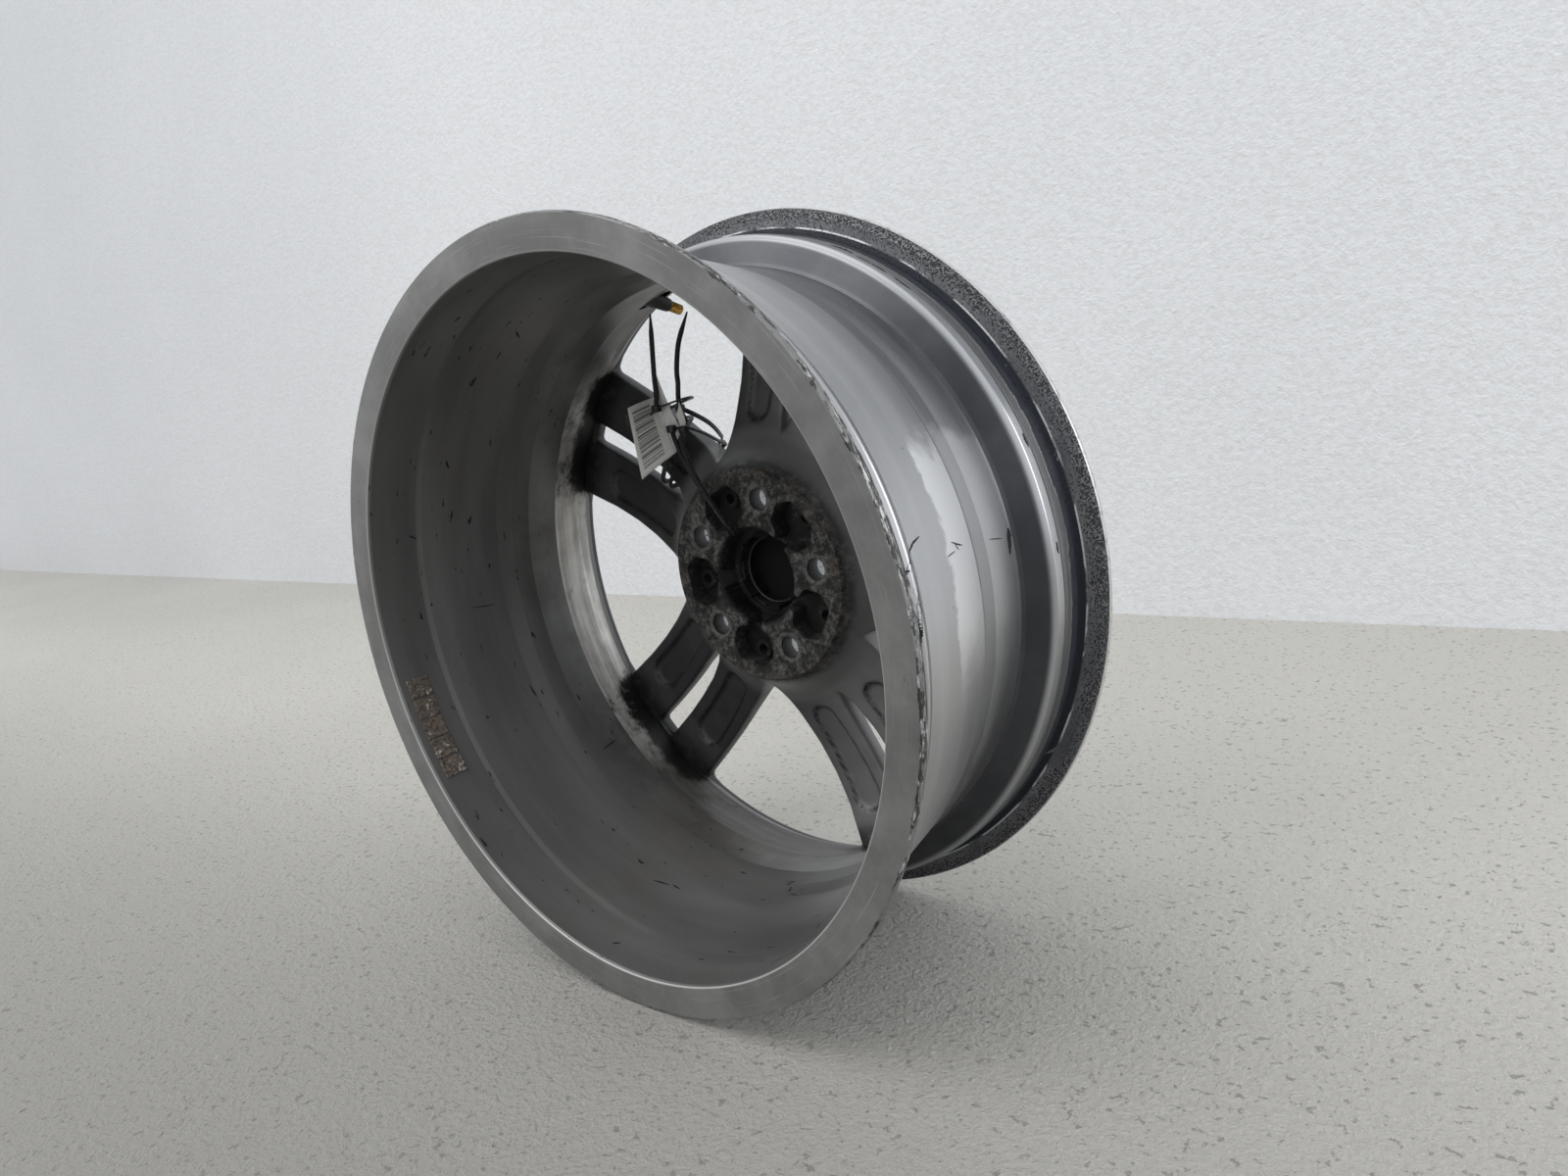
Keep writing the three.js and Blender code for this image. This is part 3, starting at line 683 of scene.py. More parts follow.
INNER_MARKS = [
    ([(-130.8, 22), (-130.4, 30), (-130, 38)], 1.1, 0.5),
    ([(-162.6, -26), (-166, -22.5)], 1.0, 0.9),
    ([(-166.5, -21), (-168.5, -21.5)], 0.9, 0.8),
    ([(169.1, 2), (169.3, 7)], 0.9, 0.5),
    ([(-169, -89), (-170, -85)], 1.2, 0.8),
    ([(150.2, -53), (149.8, -48)], 1.2, 0.6),
    ([(151.5, -85), (149, -79), (147, -70)], 1.0, 1.2),
    ([(153, -88), (151.5, -82)], 0.8, 1.0),
    ([(-29, -28), (-31, -22)], 1.0, 0.8),
    ([(-60.6, -45), (-62.4, -42)], 1.2, 0.9),
    ([(-92, -30), (-92.6, -12)], 0.6, 0.6),
    ([(-111, -5), (-114, -3)], 0.8, 0.9),
    ([(-75, -72), (-76, -66)], 0.9, 0.8),
]
MARK_HEIGHT = 0.12


def rim_side(zones):
    """A function that gives the radius at y on the part of the section that has these zones."""
    side = sorted((y, r) for r, y, zone in filleted(rim_profile()) if zone in zones)
    stops, radii = zip(*side)
    return lambda y: np.interp(y, stops, radii)


def mark(path, width, raggedness, radius_at, lift, seed):
    """A ragged strip that lies just above the rim, tapered at both ends."""
    degrees, y = np.array(path, float).T
    stops = np.linspace(0, len(path) - 1, 10 * len(path))
    angle = np.radians(np.interp(stops, range(len(path)), degrees))
    y = np.interp(stops, range(len(path)), y)
    across = np.stack([-np.gradient(y), np.gradient(angle) * radius_at(y)], axis=-1)
    across /= np.linalg.norm(across, axis=1)[:, None]
    points = []
    for side in (-1, 1):
        for k, t in enumerate(np.linspace(0, 1, len(stops))):
            ragged = 1 + raggedness * noise.noise((k * 0.9, seed * 3.7, side * 2.1))
            reach = side * 0.7 * width * ragged * math.sin(math.pi * min(max(t, 0.04), 0.96)) ** 0.5
            here_y = y[k] + across[k][1] * reach
            radius = radius_at(here_y) + lift
            x, z = polar(radius, angle[k] + across[k][0] * reach / radius)
            points.append((x, here_y, z))
    n = len(stops)
    faces = [(k, k + 1, n + k + 1, n + k) for k in range(n - 1)]
    return np.array(points), faces


def build_marks():
    tyre_side = rim_side(["barrel", "well", "wall", "seat", "grit"])
    inner_side = rim_side(["inner"])
    strips = [mark(*m, tyre_side, MARK_HEIGHT, k) for k, m in enumerate(TYRE_SIDE_MARKS)]
    strips += [mark(*m, inner_side, -MARK_HEIGHT, k + 40) for k, m in enumerate(INNER_MARKS)]
    points, faces = joined(strips)
    marks = make_object("paint_scratches", points, faces, [chipped_paint()], sharp=60)
    return marks


# ---------- outlines of the face casting, as [x, z] arrays ----------
def turn(points, angle):
    x, z = np.asarray(points, float).T
    cos, sin = math.cos(angle), math.sin(angle)
    return np.stack([x * cos + z * sin, z * cos - x * sin], axis=-1)


def evenly(outline, spacing):
    """A closed outline walked round in equal steps."""
    loop = np.vstack([outline, outline[:1]])
    lengths = np.concatenate([[0], np.cumsum(np.linalg.norm(np.diff(loop, axis=0), axis=1))])
    count = max(12, int(round(lengths[-1] / spacing)))
    stops = np.arange(count) * lengths[-1] / count
    return np.stack([np.interp(stops, lengths, loop[:, 0]), np.interp(stops, lengths, loop[:, 1])], axis=-1)


def circle(centre, radius, spacing):
    count = max(16, int(round(2 * math.pi * radius / spacing)))
    angles = np.arange(count) * 2 * math.pi / count
    return np.stack([centre[0] + radius * np.sin(angles), centre[1] + radius * np.cos(angles)], axis=-1)


def offset(outline, distance):
    """A closed outline moved along its normals, away from its own inside where distance is positive."""
    ahead = np.roll(outline, -1, axis=0) - np.roll(outline, 1, axis=0)
    normal = np.stack([ahead[:, 1], -ahead[:, 0]], axis=-1) / np.linalg.norm(ahead, axis=1)[:, None]
    x, z = outline.T
    area = np.sum(x * np.roll(z, -1) - np.roll(x, -1) * z)
    return outline + normal * distance * (1 if area > 0 else -1)


def spoke_edge(t):
    """Outer edge of a twin spoke: along and beside its centre line, t from 0 at the hub to 1 at the rim."""
    a, b, c = np.array([(76, 50.8), (110, 46.5), (213, 54.7)])
    t = np.asarray(t)[:, None]
    return (1 - t) ** 2 * a + 2 * t * (1 - t) * b + t * t * c


def window_outline():
    along, aside = spoke_edge(np.linspace(0, 1, 13)).T
    flank = turn(np.stack([-aside, along], axis=-1), STEP / 2)
    flank = flank[flank[:, 0] > 7.5]
    rim_x, rim_z = flank[-1]
    rim_angle = math.atan2(rim_x, rim_z)
    rim_r = math.hypot(rim_x, rim_z) + 1.5
    right = [(x, z, 0) for x, z in flank[:-1]] + [(rim_x, rim_z, 7)]
    arc = [(*polar(rim_r, a), 0) for a in np.linspace(rim_angle * 0.85, -rim_angle * 0.85, 15)]
    left = [(-x, z, radius) for x, z, radius in reversed(right)]
    tip = (0, flank[0][1] - flank[0][0] * 1.2, 9)
    return np.array(filleted([tip, *right, *arc, *left], 6))


def slot_outline():
    side = [(0.6, 100.5, 0), (3.9, 112, 0), (6.2, 134, 0), (7.2, 165, 0), (8.3, 205, 0), (8.5, 215, 4)]
    return np.array(filleted(side + [(-x, z, radius) for x, z, radius in reversed(side)], 6))


def pocket_outline():
    side = [(5.5, 29, 0), (5.5, 39.5, 2), (15, 42.5, 5), (18.5, 55, 5), (12, 66, 5)]
    return np.array(filleted(side + [(-x, z, radius) for x, z, radius in reversed(side)], 5))


def all_round(outline, first):
    return [turn(outline, first + i * STEP) for i in range(5)]


# ---------- heights of the face casting ----------
def smooth_curve(stops, smoothing):
    """A function that interpolates (radius, y) stops, softened over the given length."""
    r, y = np.array(stops, float).T
    grid = np.arange(r[0] - 20, r[-1] + 20, 0.5)
    rough = np.interp(grid, r, y)
    reach = int(smoothing * 3 / 0.5)
    kernel = np.exp(-0.5 * (np.arange(-reach, reach + 1) * 0.5 / smoothing) ** 2)
    padded = np.pad(rough, reach, mode="edge")
    soft = np.convolve(padded, kernel / kernel.sum(), mode="valid")
    return lambda radius: np.interp(radius, grid, soft)


back_of_spoke = smooth_curve(
    [(78, 61.5), (82, 67.5), (88, 75.2), (94, 80.8), (102, 85.2), (112, 89), (137, 95.2), (161, 98.2),
     (186, 98.2), (206, 95.2), (216, 93.8), (230, 94.5)],
    1.6,
)
front_of_spoke = smooth_curve(
    [(60, 97), (88, 99), (105, 102.8), (125, 107.2), (150, 110.6), (168, 111.7), (186, 110.9), (205, 108.6),
     (217, 106.3), (229, 103.9)],
    5,
)


def step_up(value, low, high):
    t = np.clip((value - low) / (high - low), 0, 1)
    return t * t * (3 - 2 * t)


def nearest(points, targets):
    """Distance from each point to the nearest target."""
    tree = kdtree.KDTree(len(targets))
    for i, (x, z) in enumerate(targets):
        tree.insert((x, z, 0), i)
    tree.balance()
    return np.array([tree.find((x, z, 0))[2] for x, z in points])


def inside(points, outline):
    """Whether each point lies in a closed outline."""
    x, z = points.T
    result = np.zeros(len(points), bool)
    for (x0, z0), (x1, z1) in zip(outline, np.roll(outline, -1, axis=0)):
        if z0 != z1:
            crosses = (z0 > z) != (z1 > z)
            result ^= crosses & (x < (x1 - x0) * (z - z0) / (z1 - z0) + x0)
    return result


def signed(points, outline):
    """Distance to a closed outline, below zero inside it."""
    distance = nearest(points, evenly(outline, 0.3))
    return np.where(inside(points, outline), -distance, distance)


def spoke_frame(points):
    """Each point's distances along and beside the centre line of its own twin spoke."""
    angle = np.arctan2(points[:, 0], points[:, 1]) - FIRST_SPOKE
    local = angle - np.round(angle / STEP) * STEP
    radius = np.linalg.norm(points, axis=1)
    return radius * np.cos(local), np.abs(radius * np.sin(local))


def panel_distance(points):
    """Distance to the recessed panel in each spoke's back, below zero inside it."""
    along, aside = spoke_frame(points)
    a, b = np.array(PANEL_FROM, float), np.array(PANEL_TO, float)
    p = np.stack([along, aside], axis=-1) - a
    t = np.clip(p @ (b - a) / ((b - a) @ (b - a)), 0, 1)
    half_width = PANEL_HALF_WIDTH - 2.5 * (1 - t)
    return np.linalg.norm(p - t[:, None] * (b - a), axis=1) - half_width


class FacePlan:
    """Outlines of the hub and spokes seen along the axle, and the loops that their mesh is built on."""

    def __init__(self):
        between = FIRST_SPOKE + STEP / 2
        self.pierced = all_round(window_outline(), between) + all_round(slot_outline(), FIRST_SPOKE)
        self.pockets = all_round(pocket_outline(), between)
        self.bolts = [polar(BOLT_CIRCLE_R, FIRST_SPOKE + i * STEP) for i in range(5)]
        self.dimples = [polar(DIMPLE_R, between + i * STEP) for i in range(5)]
        self.openings = [evenly(outline, 2) for outline in self.pierced]
        self.holes = self.openings + [circle(centre, BOLT_HOLE_R, 1.6) for centre in self.bolts]
        self.holes.append(circle((0, 0), FACE_BORE_R, 2))
        self.edges = self.holes + [circle((0, 0), FACE_R, 3)]

    def steps(self):
        """Loops where the back or front steps, and close rows along the openings' rounded edges."""
        radii = (31, 31.4, BORE_R, BORE_R + 0.4, 34.9, 35.8, PAD_R, PAD_R + 1)
        loops = [circle((0, 0), radius, 2) for radius in radii]
        for centre in self.bolts:
            radii = (9.2, 9.7, BOLT_POCKET_R - 0.4, BOLT_POCKET_R)
            loops += [circle(centre, radius, 1.6) for radius in radii]
        for centre in self.dimples:
            loops += [circle(centre, radius, 1.3) for radius in (3.6, 4, 7, 8.5)]
        for outline in self.pockets:
            loops += [evenly(offset(outline, d), 1.5) for d in (0.5, -0.7)]
        for outline in self.openings:
            loops += [evenly(offset(outline, d), 2) for d in (0.3, 0.9, 1.7, EDGE_ROUNDING)]
        return loops

    def in_hole(self, points):
        return np.any([inside(points, hole) for hole in self.holes], axis=0)

    def triangulated(self):
        """Points all over the face, and the triangles between them that lie outside the holes."""
        fixed = np.vstack(self.edges + self.steps())
        count = int(FACE_R / GRID) + 1
        i, j = np.meshgrid(np.arange(-count, count + 1), np.arange(-count, count + 1))
        grid = np.stack([(i + (j % 2) / 2) * GRID, j * GRID * 0.866], axis=-1).reshape(-1, 2)
        grid = grid[np.linalg.norm(grid, axis=1) < FACE_R - 1]
        grid = grid[~self.in_hole(grid)]
        grid = grid[nearest(grid, fixed) > GRID * 0.55]
        borders = []
        start = 0
        for loop in self.edges:
            n = len(loop)
            borders += [(start + m, start + (m + 1) % n) for m in range(n)]
            start += n
        points = [Vector(p) for p in np.vstack([fixed, grid])]
        verts, _, triangles, *_ = delaunay_2d_cdt(points, borders, [], 0, 1e-4)
        flat = np.array([tuple(v) for v in verts])
        triangles = np.array([tuple(t) for t in triangles])
        centres = flat[triangles].mean(axis=1)
        keep = (np.linalg.norm(centres, axis=1) < FACE_R) & ~self.in_hole(centres)
        return flat, triangles[keep]

    def measured(self, flat):
        """Distances from each point to the things that shape the face there."""
        return SimpleNamespace(
            radius=np.linalg.norm(flat, axis=1),
            edge=nearest(flat, np.vstack([evenly(outline, 0.25) for outline in self.pierced])),
            bolt=np.min([np.linalg.norm(flat - centre, axis=1) for centre in self.bolts], axis=0),
            dimple=np.min([np.linalg.norm(flat - centre, axis=1) for centre in self.dimples], axis=0),
            pocket=np.min([signed(flat, outline) for outline in self.pockets], axis=0),
            panel=panel_distance(flat),
        )


def edge_rounding(to_edge):
    """How far the surface has dropped near the edge of an opening."""
    inward = np.clip(EDGE_ROUNDING - to_edge, 0, None)
    return EDGE_ROUNDING - np.sqrt(np.clip(EDGE_ROUNDING**2 - inward**2, 0, None))


def back_height(d):
    hub_radii = [FACE_BORE_R, BORE_R, BORE_R + 0.4, 35.8, PAD_R, PAD_R + 1, 82]
    hub = np.interp(d.radius, hub_radii, [74, 74, 61.2, PAD_Y, PAD_Y, 60.7, 67.5])
    back = np.where(d.radius < 79.5, hub, back_of_spoke(d.radius))
    floor = POCKET_Y - 3 * step_up(d.dimple, 8.5, 7) + 9 * step_up(d.dimple, 4, 3.6)
    in_pocket = step_up(d.pocket, 0.5, -0.7) * (d.radius > BORE_R + 0.2)
    back = np.where(d.radius < 79, back + in_pocket * (floor - np.minimum(back, floor)), back)
    back += 0.7 * step_up(d.bolt, 9.7, 9.2) + edge_rounding(d.edge)
    return back + PANEL_DEPTH * step_up(d.panel, 1.2, -1.6)


def front_height(d):
    hub = np.interp(d.radius, [FACE_BORE_R, 31, 31.4, 34.5, 34.9, 37, 60], [78, 79, 91, 91, 95, 96, 97])
    front = np.where(d.radius < 60, hub, front_of_spoke(d.radius))
    bolt_well = np.interp(d.bolt, [BOLT_HOLE_R, BOLT_POCKET_R - 0.4, BOLT_POCKET_R], [71, 78, 200])
    return np.minimum(front, bolt_well) - edge_rounding(d.edge) * 1.15


def open_edges(triangles):
    """Edges that only one triangle has, each in that triangle's direction."""
    directed = dict.fromkeys(edge for a, b, c in triangles.tolist() for edge in ((a, b), (b, c), (c, a)))
    return [(a, b) for a, b in directed if (b, a) not in directed]


def back_marks(d):
    """How dirty, bare, blackened and machined the back is at each point, from 0 to 1; the blackening round the
    bore is painted shade.
    """
    panel_line = np.exp(-((d.panel - 0.2) / 1.1) ** 2) * (d.edge > 3)
    at_rim = step_up(d.radius, 196, 212) * step_up(d.radius, 226, 218)
    at_foot = 0.8 * np.exp(-((d.radius - 79) / 3.5) ** 2)
    return {
        "dirt": np.clip(panel_line + 0.75 * at_rim + at_foot, 0, 1),
        "pad": step_up(d.radius, 80, 77.5),
        # Blackened pockets; round the bore the same blackening is painted shade.
        "soot_and_painted_shade": np.maximum(step_up(d.pocket, 2.5, -1), step_up(d.radius, 37.5, 34.5)),
        "machined": step_up(d.bolt, 10.2, 9.6) * step_up(d.bolt, 7.8, 8.2),
    }


def build_face():
    """Hub and spokes as one casting: a back and a front over the same triangles, joined at every edge."""
    plan = FacePlan()
    flat, triangles = plan.triangulated()
    d = plan.measured(flat)
    x, z = flat.T
    points = np.vstack([np.column_stack([x, y, z]) for y in (back_height(d), front_height(d))])
    n = len(flat)
    walls = [(b, a, a + n, b + n) for a, b in open_edges(triangles)]
    faces = triangles.tolist() + (triangles[:, ::-1] + n).tolist() + walls
    zones = [0] * len(triangles) + [1] * len(triangles) + [0] * len(walls)
    face = make_object("face_casting", points, faces, [cast_grey(), street_silver()], zones=zones, sharp=40)
    for name, values in back_marks(d).items():
        store(face, name, np.concatenate([values, np.zeros(n)]))
    store(face, "to_bolt", np.tile(np.minimum(d.bolt, 30), 2))
    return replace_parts(face, "hub", *[f"twin_spoke_{i + 1}" for i in range(5)])


# ---------- valve ----------
def along_valve(points):
    """Points built on the valve's axis, y = 0 in the wall and +y towards its mouth, moved into the rim."""
    tilt = Matrix.Rotation(-VALVE_TILT, 3, "X")
    swing = Matrix.Rotation(VALVE_ANGLE, 3, "Y")
    x, z = polar(VALVE_R, VALVE_ANGLE)
    return points @ np.array(swing @ tilt).T + (x, VALVE_Y, z)


def drill_valve_hole(rim):
    """Cuts the stepped hole for the valve: a spot face in the well, the hole, and a relief inside the rim."""
    sides = 40
    steps = [(9.6, -16), (9.6, 0), (VALVE_HOLE_R, 0), (VALVE_HOLE_R, 4.5), (10.5, 4.5), (10.5, 30)]
    points, faces = lathe(steps, sides, closed=False)
    n = len(steps)
    faces += [tuple(i * n for i in range(sides)), tuple(i * n + n - 1 for i in reversed(range(sides)))]
    drill = add_to_scene("valve_drill", make_mesh("valve_drill", along_valve(points), faces))
    cut = rim.modifiers.new("valve_hole", "BOOLEAN")
    cut.object = drill
    cut.operation = "DIFFERENCE"
    cut.solver = "FAST"
    drilled = rim.evaluated_get(bpy.context.evaluated_depsgraph_get())
    rim.data = bpy.data.meshes.new_from_object(drilled)
    rim.data.set_sharp_from_angle(angle=math.radians(35))
    rim.modifiers.remove(cut)
    bpy.data.objects.remove(drill)


def valve_piece(name, corners, material, node):
    points, faces = lathe(filleted(corners, 3), 48)
    piece = make_object(name, along_valve(points), faces, [material], sharp=50)
    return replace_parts(piece, node)


def build_valve():
    collar = [(4.1, -13, 0.3), (7.6, -13, 1), (9, -10.6, 1), (9, -0.3, 0.6)]
    collar += [(5.45, -0.3, 0.3), (5.45, 4.8, 0.3)]
    sleeve = [(7.2, 5.2, 1.2), (6.5, 9, 1), (6.1, 11.5, 0.5), (6.0, 12.5, 0.5), (5.4, 20, 4)]
    sleeve += [(4.9, 26.6, 0.6), (4.1, 28, 0.4)]
    valve_piece("valve_rubber", collar + sleeve, rubber(), "valve_rubber_body")
    thread = []
    for k in range(12):
        y = 28.9 + k * 0.75
        thread += [(3.45, y, 0.08), (3.8, y + 0.37, 0.08)]
    stem = [(2.4, -12, 0.1), (3.8, -12, 0.3), (3.8, 27.9, 0.2), (3.3, 28.4, 0.2), *thread]
    stem += [(3.5, 38.2, 0.2), (3.1, 38.6, 0.2), (2.4, 38.6, 0.2)]
    valve_piece("valve_brass_stem", stem, brass(), "valve_stem")


# ---------- cable ties ----------
TIED_SPOKE = FIRST_SPOKE + 4 * STEP
TIE_WIDTH = 3.6
TIE_THICKNESS = 1.3


def on_spoke(along, aside, y):
    cos, sin = math.cos(TIED_SPOKE), math.sin(TIED_SPOKE)
    return (along * sin + aside * cos, y, along * cos - aside * sin)


# Loops through the slots, as (along the spoke, beside its centre line, y).
LOWER_LOOP = [
    (104, 64, 70), (94, 63, 79), (88, 57, 92), (92, 51, 105), (102, 36, 108), (111, 18, 109), (117, 8, 109),
    (121, 1, 106.5), (122, 0, 98), (121, 1, 90), (117, 12, 84), (114, 34, 79), (112, 50, 72),
]
UPPER_LOOP = [
    (104, 73, 77), (97, 68, 87), (94, 59, 98), (98, 50, 107.4), (108, 34, 109), (118, 18, 109.8),
    (125, 8, 109.8), (129, 1, 107.5), (130, 0, 98), (129, 1, 90), (125, 14, 83), (121, 36, 80),
    (116, 54, 76), (109, 61, 78),
]
TIES = {
    "cable_tie_lower": {
        "head": (-66, 64, 108),
        "loop": [on_spoke(*p) for p in LOWER_LOOP],
        "tail": [(-59, 59, 100), (-53, 57, 90), (-46, 56.4, 78), (-37, 56, 61)],
    },
    "cable_tie_upper": {
        "head": (-60, 70, 122),
        "loop": [on_spoke(*p) for p in UPPER_LOOP],
        "tail": [(-56, 66, 130), (-51, 63, 140), (-49, 62, 150), (-44, 63, 168), (-34, 66, 188)],
    },
    "cable_tie_long": {
        "head": (-51, 61, 107),
        "loop": [
            (-53, 70, 111), (-57, 77, 114), (-63.5, 78.5, 114.7), (-65, 72, 112.4), (-58.5, 67.5, 112.8),
        ],
        "tail": [(-51, 58, 99), (-45, 54, 88), (-36, 51, 74), (-22, 48.5, 55), (-2, 46, 32)],
    },
    "cable_tie_tag": {
        "head": (-72, 58, 124),
        "loop": [
            (-80, 61, 121), (-86, 69, 120), (-80, 78, 122), (-66, 80, 126), (-54, 77, 128), (-49, 68, 129),
            (-57, 59, 127),
        ],
        "tail": [(-72, 60, 134), (-71, 60, 147), (-69, 61, 170), (-67, 62, 191)],
    },
}


def smooth_route(stops, per_span=8):
    """A Catmull-Rom curve through the stops."""
    p = np.array(stops, float)
    p = np.vstack([2 * p[0] - p[1], p, 2 * p[-1] - p[-2]])
    t = np.linspace(0, 1, per_span, endpoint=False)[:, None]
    spans = []
    for a, b, c, d in zip(p, p[1:], p[2:], p[3:]):
        square = 2 * a - 5 * b + 4 * c - d
        cube = 3 * b - a - 3 * c + d
        spans.append(0.5 * (2 * b + (c - a) * t + square * t**2 + cube * t**3))
    return np.vstack([*spans, p[-2:-1]])


def octagon(across, up):
    """A square from -1 to 1 with its corners cut back to across and up."""
    lower = [(-1, -up), (-across, -1), (across, -1), (1, -up)]
    return lower + [(1, up), (across, 1), (-across, 1), (-1, up)]


def tube_faces(rings, n):
    """Faces between rings of n points, closed at both ends."""
    faces = [
        (i * n + k, i * n + (k + 1) % n, (i + 1) * n + (k + 1) % n, (i + 1) * n + k)
        for i in range(rings - 1)
        for k in range(n)
    ]
    last = (rings - 1) * n
    return faces + [tuple(reversed(range(n))), tuple(range(last, last + n))]


def ribbon(route, width, thickness, start_side, taper=0.0):
    """A strap along a route, as points, faces and the distance along it. It tapers over its last taper mm."""
    tangents = np.gradient(route, axis=0)
    tangents /= np.linalg.norm(tangents, axis=1)[:, None]
    gone = np.concatenate([[0], np.cumsum(np.linalg.norm(np.diff(route, axis=0), axis=1))])
    section = octagon(0.85, 0.6)
    side = np.array(start_side, float)
    rings = []
    for point, tangent, distance in zip(route, tangents, gone):
        side = side - tangent * (side @ tangent)
        side /= np.linalg.norm(side)
        flat = np.cross(tangent, side)
        left = gone[-1] - distance
        narrow = 1 if taper == 0 else min(1, 0.3 + 0.7 * left / taper)
        rings.append([point + side * a * width / 2 * narrow + flat * b * thickness / 2 for a, b in section])
    points = np.array(rings).reshape(-1, 3)
    return points, tube_faces(len(route), len(section)), np.repeat(gone, len(section))


def block(centre, size, chamfer=0.6):
    """A box with cut corners all round, as points and faces."""
    half = np.array(size) / 2
    narrow, low = 1 - chamfer / half[1], 1 - chamfer / half[2]
    points = []
    for z, spread in [(-1, narrow), (-low, 1), (low, 1), (1, narrow)]:
        for x, y in octagon(0.75, 0.75):
            points.append(np.array(centre) + half * (x * spread, y * spread, z))
    return np.array(points), tube_faces(4, 8)


def joined(parts):
    """Several (points, faces) pairs as one."""
    points, faces, start = [], [], 0
    for some, around in parts:
        points.append(some)
        faces += [tuple(i + start for i in face) for face in around]
        start += len(some)
    return np.vstack(points), faces


def build_tie(name, head, loop, tail, material):
    """A strap bent into a loop and a tail, with its lock where they meet."""
    around, around_faces, around_gone = ribbon(
        smooth_route([head, *loop, head]), TIE_WIDTH, TIE_THICKNESS, (0.3, 1, 0.3)
    )
    end, end_faces, end_gone = ribbon(
        smooth_route([head, *tail]), TIE_WIDTH, TIE_THICKNESS * 0.9, (0.8, 0.6, 0), taper=14
    )
    lock, lock_faces = block(head, (6.4, 5.4, 5.4))
    points, faces = joined([(around, around_faces), (end, end_faces), (lock, lock_faces)])
    strap = make_object(name + "_strap", points, faces, [material], sharp=45)
    store(strap, "along", np.concatenate([around_gone, end_gone, np.zeros(len(lock))]))
    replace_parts(strap, name)


def build_ties():
    black = nylon()
    for name, route in TIES.items():
        build_tie(name, **route, material=black)


# ---------- folded tag ----------
def sheet_faces(rows, columns):
    """Faces of a sheet of points, row after row."""
    starts = [i * columns + j for i in range(rows - 1) for j in range(columns - 1)]
    return [(a, a + 1, a + columns + 1, a + columns) for a in starts]


def leaf(corners, curl, rows=22, columns=12):
    """A curled sheet between two corners at its start and two at its end, with u along and v across it."""
    start, start_far, end, end_far = np.array(corners, float)
    out = np.cross(end - start, start_far - start)
    out /= np.linalg.norm(out)
    u, v = np.meshgrid(np.linspace(0, 1, rows), np.linspace(0, 1, columns), indexing="ij")
    u, v = u.ravel()[:, None], v.ravel()[:, None]
    flat = (1 - u) * ((1 - v) * start + v * start_far) + u * ((1 - v) * end + v * end_far)
    bow = curl * (np.sin(u * math.pi) * 0.6 + np.sin(v * math.pi) + (u - 0.5) * v * 1.2)
    return flat + out * bow, sheet_faces(rows, columns), u.ravel(), v.ravel()


def build_tag():
    printed = leaf([(-71, 70, 90), (-91, 50, 74), (-86, 72, 132), (-88, 45, 127)], 1.8)
    behind = leaf([(-71, 70, 90), (-60, 67, 106), (-85, 71, 138), (-69, 62, 147)], -2.0)
    scrap = leaf([(-53, 61, 104), (-48, 62, 112), (-56, 61, 118), (-51, 60, 127)], 1.2)
    leaves = [printed, behind, scrap]
    points, faces = joined([(p, f) for p, f, _, _ in leaves])
    tag = make_object("folded_tag", points, faces, [tag_paper()], sharp=60)
    store(tag, "along", np.concatenate([u for _, _, u, _ in leaves]))
    store(tag, "across", np.concatenate([v for _, _, _, v in leaves]))
    blank = len(points) - len(printed[0])
    store(tag, "printed", [1] * len(printed[0]) + [0] * blank)
    thick = tag.modifiers.new("stock", "SOLIDIFY")
    thick.thickness = 0.3 * MM
    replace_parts(tag, "paper_tag")


# ---------- adhesive pads ----------
def foam_height(u, v, seed):
    """Thickness of a crumbled pad at (u, v), each from -1 to 1."""
    if max(abs(u), abs(v)) >= 0.97:
        return 0.25
    rough = noise.noise((u * 3.1 + seed * 7, v * 3.1, 2.5))
    crumb = noise.noise((u * 9 + seed * 5, v * 9, 7.5))
    return max(0.2, 1.0 + 0.5 * rough + 0.35 * crumb)


def foam_pad(middle, seed, n=26):
    """Points and faces of one pad: an underside that lies on the barrel, and a crumbled top."""
    under, top = [], []
    for u, v in product(np.linspace(-1, 1, n), repeat=2):
        frayed = 1 + 0.06 * noise.noise((u * 2 + seed * 3, v * 2, 1.2))
        for points, height in ((under, 0), (top, foam_height(u, v, seed))):
            x, z = polar(FOAM_R - height, middle + u * frayed * 7.3 / 225)
            points.append((x, FOAM_Y + v * frayed * 9, z))
    below = sheet_faces(n, n)
    above = [tuple(n * n + i for i in (a, d, c, b)) for a, b, c, d in below]
    index = np.arange(n * n).reshape(n, n)
    border = np.concatenate([index[0], index[1:, -1], index[-1, -2::-1], index[-2:0:-1, 0]]).tolist()
    sides = [(b, a, a + n * n, b + n * n) for a, b in zip(border, border[1:] + border[:1])]
    return under + top, below + above + sides


def build_weight_pads():
    foam = pad_foam()
    for index in range(5):
        points, faces = foam_pad(WEIGHT_ANGLE - (index - 2) * WEIGHT_PITCH, index)
        pad = make_object(f"foam_pad_{index + 1}", points, faces, [foam], sharp=60)
        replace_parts(pad, f"weight_pad_{index + 1}")


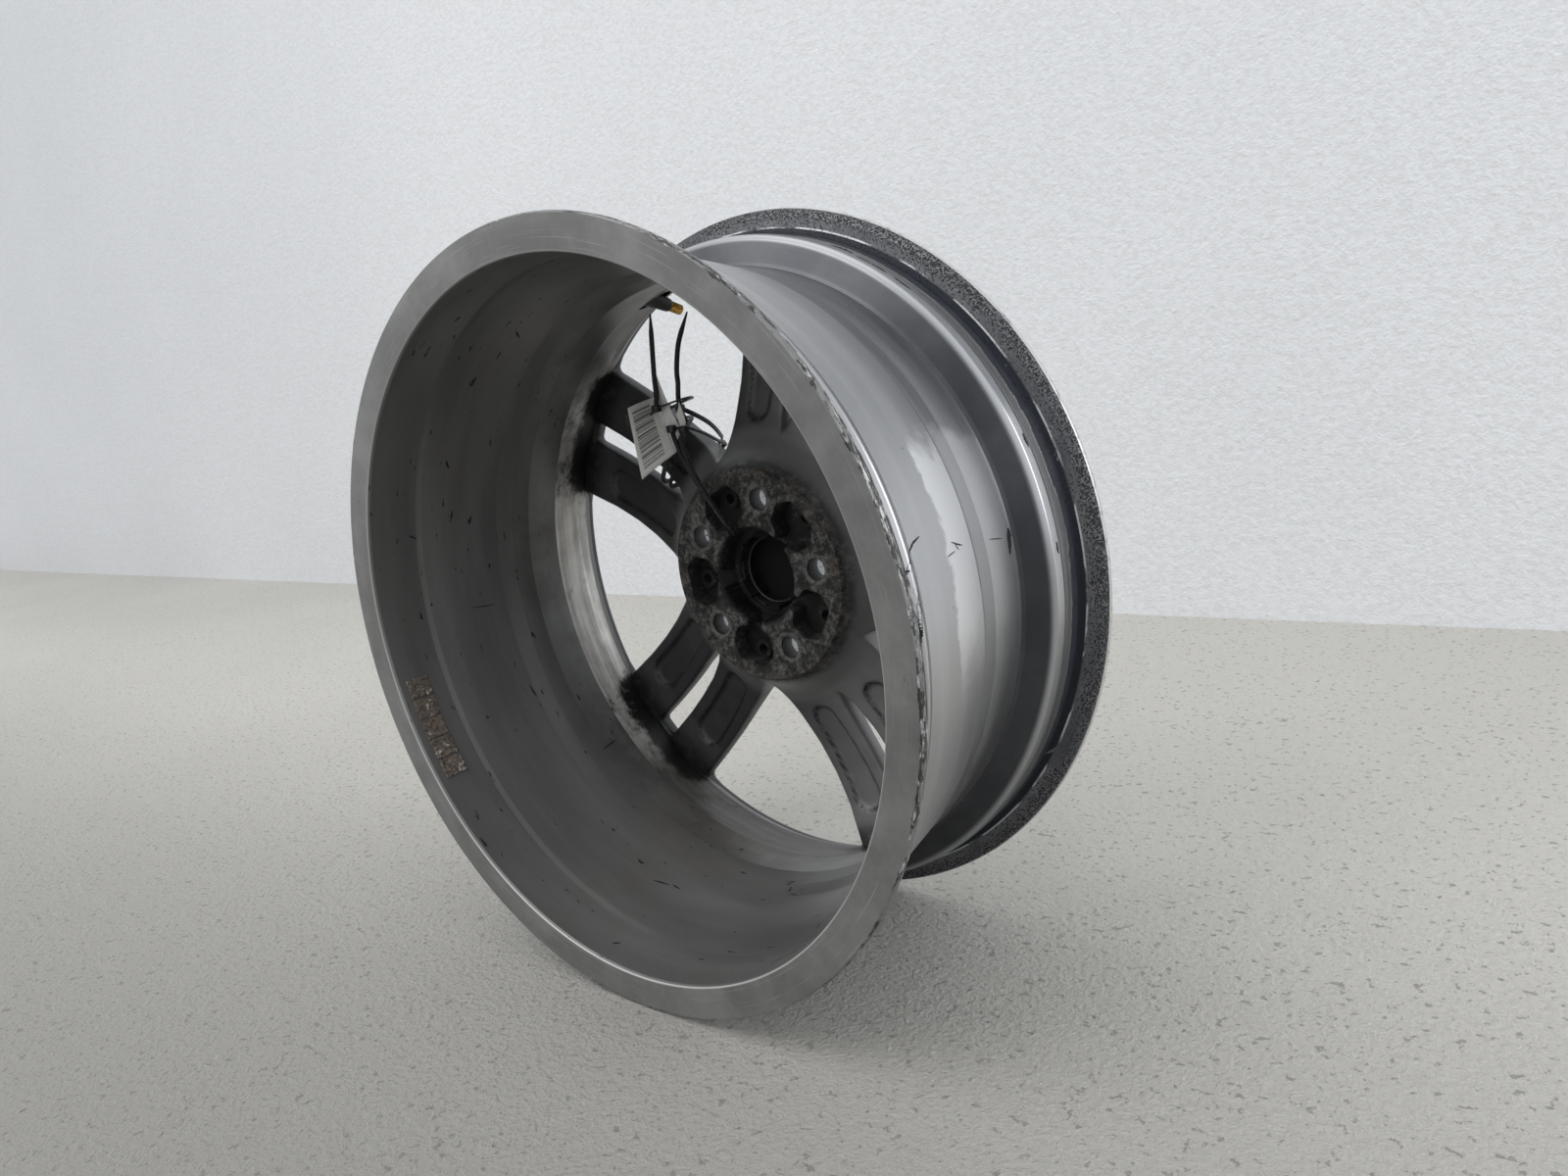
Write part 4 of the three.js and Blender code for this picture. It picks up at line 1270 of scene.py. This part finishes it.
def finish_cad_nodes():
    """The CAD pieces that show as they are get their materials here."""
    shown = {
        "centre_cap": cap_plastic(),
        "centre_cap_spring": spring_steel(),
        "valve_core_housing": brass(),
        "valve_core_pin": brass(),
        "valve_core_seal": rubber(),
        "valve_core_spring": spring_steel(),
    }
    for name, material in shown.items():
        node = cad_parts[name]
        node.data.materials.clear()
        node.data.materials.append(material)
    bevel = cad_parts["centre_cap"].modifiers.new("edges", "BEVEL")
    bevel.width = 0.5 * MM
    bevel.segments = 2


# ---------- camera, lights and stage ----------
def build_camera():
    data = bpy.data.cameras.new("camera")
    data.lens = 27.28
    data.sensor_width = 36
    data.clip_end = 50
    camera = add_to_scene("camera", data)
    camera.location = (0.565193, -0.549180, 0.153800)
    camera.rotation_euler = [math.radians(degrees) for degrees in (78.5802, 8.0635, 40.145)]
    bpy.context.scene.camera = camera


def area_light(name, place, aim, size, power, color):
    data = bpy.data.lights.new(name, "AREA")
    data.shape = "RECTANGLE"
    data.size, data.size_y = size
    data.energy = power
    data.color = color
    away = Vector(place) - Vector(aim)
    turned = away.to_track_quat("Z", "Y").to_matrix().to_4x4()
    add_to_scene(name, data).matrix_world = Matrix.Translation(place) @ turned


def build_lights():
    """Soft daylight from the room, brighter towards the wall, and three soft boxes."""
    world = bpy.data.worlds.new("studio")
    world.use_nodes = True
    nodes, links = world.node_tree.nodes, world.node_tree.links
    place = nodes.new("ShaderNodeTexCoord")
    axes = nodes.new("ShaderNodeSeparateXYZ")
    fade = nodes.new("ShaderNodeMapRange")
    for key, value in {"From Min": -0.9, "From Max": 0.5, "To Min": 0.7, "To Max": 1.68}.items():
        fade.inputs[key].default_value = value
    links.new(place.outputs["Generated"], axes.inputs[0])
    links.new(axes.outputs["Y"], fade.inputs["Value"])
    links.new(fade.outputs["Result"], nodes["Background"].inputs["Strength"])
    nodes["Background"].inputs["Color"].default_value = (0.97, 0.985, 1, 1)
    bpy.context.scene.world = world
    warm, cool = (1, 0.99, 0.97), (0.98, 0.99, 1)
    area_light("top", (-0.5, 0.3, 2.4), (0, 0.6, 0), (2.4, 1.2), 3, warm)
    area_light("room", (-0.8, -1.5, 2.2), (0, 0, 0), (2.0, 1.6), 28, warm)
    area_light("right", (1.9, 0.5, 0.7), (0, 0.1, 0), (1.2, 1.0), 14, cool)


def stage_plane(name, corners, material):
    mesh = bpy.data.meshes.new(name)
    mesh.from_pydata(corners, [], [(0, 1, 2, 3)])
    mesh.materials.append(material)
    add_to_scene(name, mesh)


def build_stage():
    floor_z = cad_box[0].z
    wall_y = 0.87
    far = 5
    wall_top = 4
    # The floor's near value of 0.54 darkens its foreground as painted shade.
    floor = pale_surface("floor_paint", (0.76, 0.74, 0.69), (0.68, 0.66, 0.615), 210, 0.007, 0.5, 0.54)
    wall = pale_surface("wall_paint", (0.86, 0.88, 0.91), (0.82, 0.84, 0.87), 150, 0.003, 0.6)
    foot = [(far, wall_y, floor_z), (-far, wall_y, floor_z)]
    stage_plane("floor", [(-far, -far, floor_z), (far, -far, floor_z), *foot], floor)
    stage_plane("wall", [*reversed(foot), (far, wall_y, wall_top), (-far, wall_y, wall_top)], wall)
    bpy.context.scene.view_settings.view_transform = "Standard"


build_camera()
build_stage()
build_lights()
build_rim()
build_marks()
build_face()
build_valve()
build_ties()
build_tag()
build_weight_pads()
finish_cad_nodes()
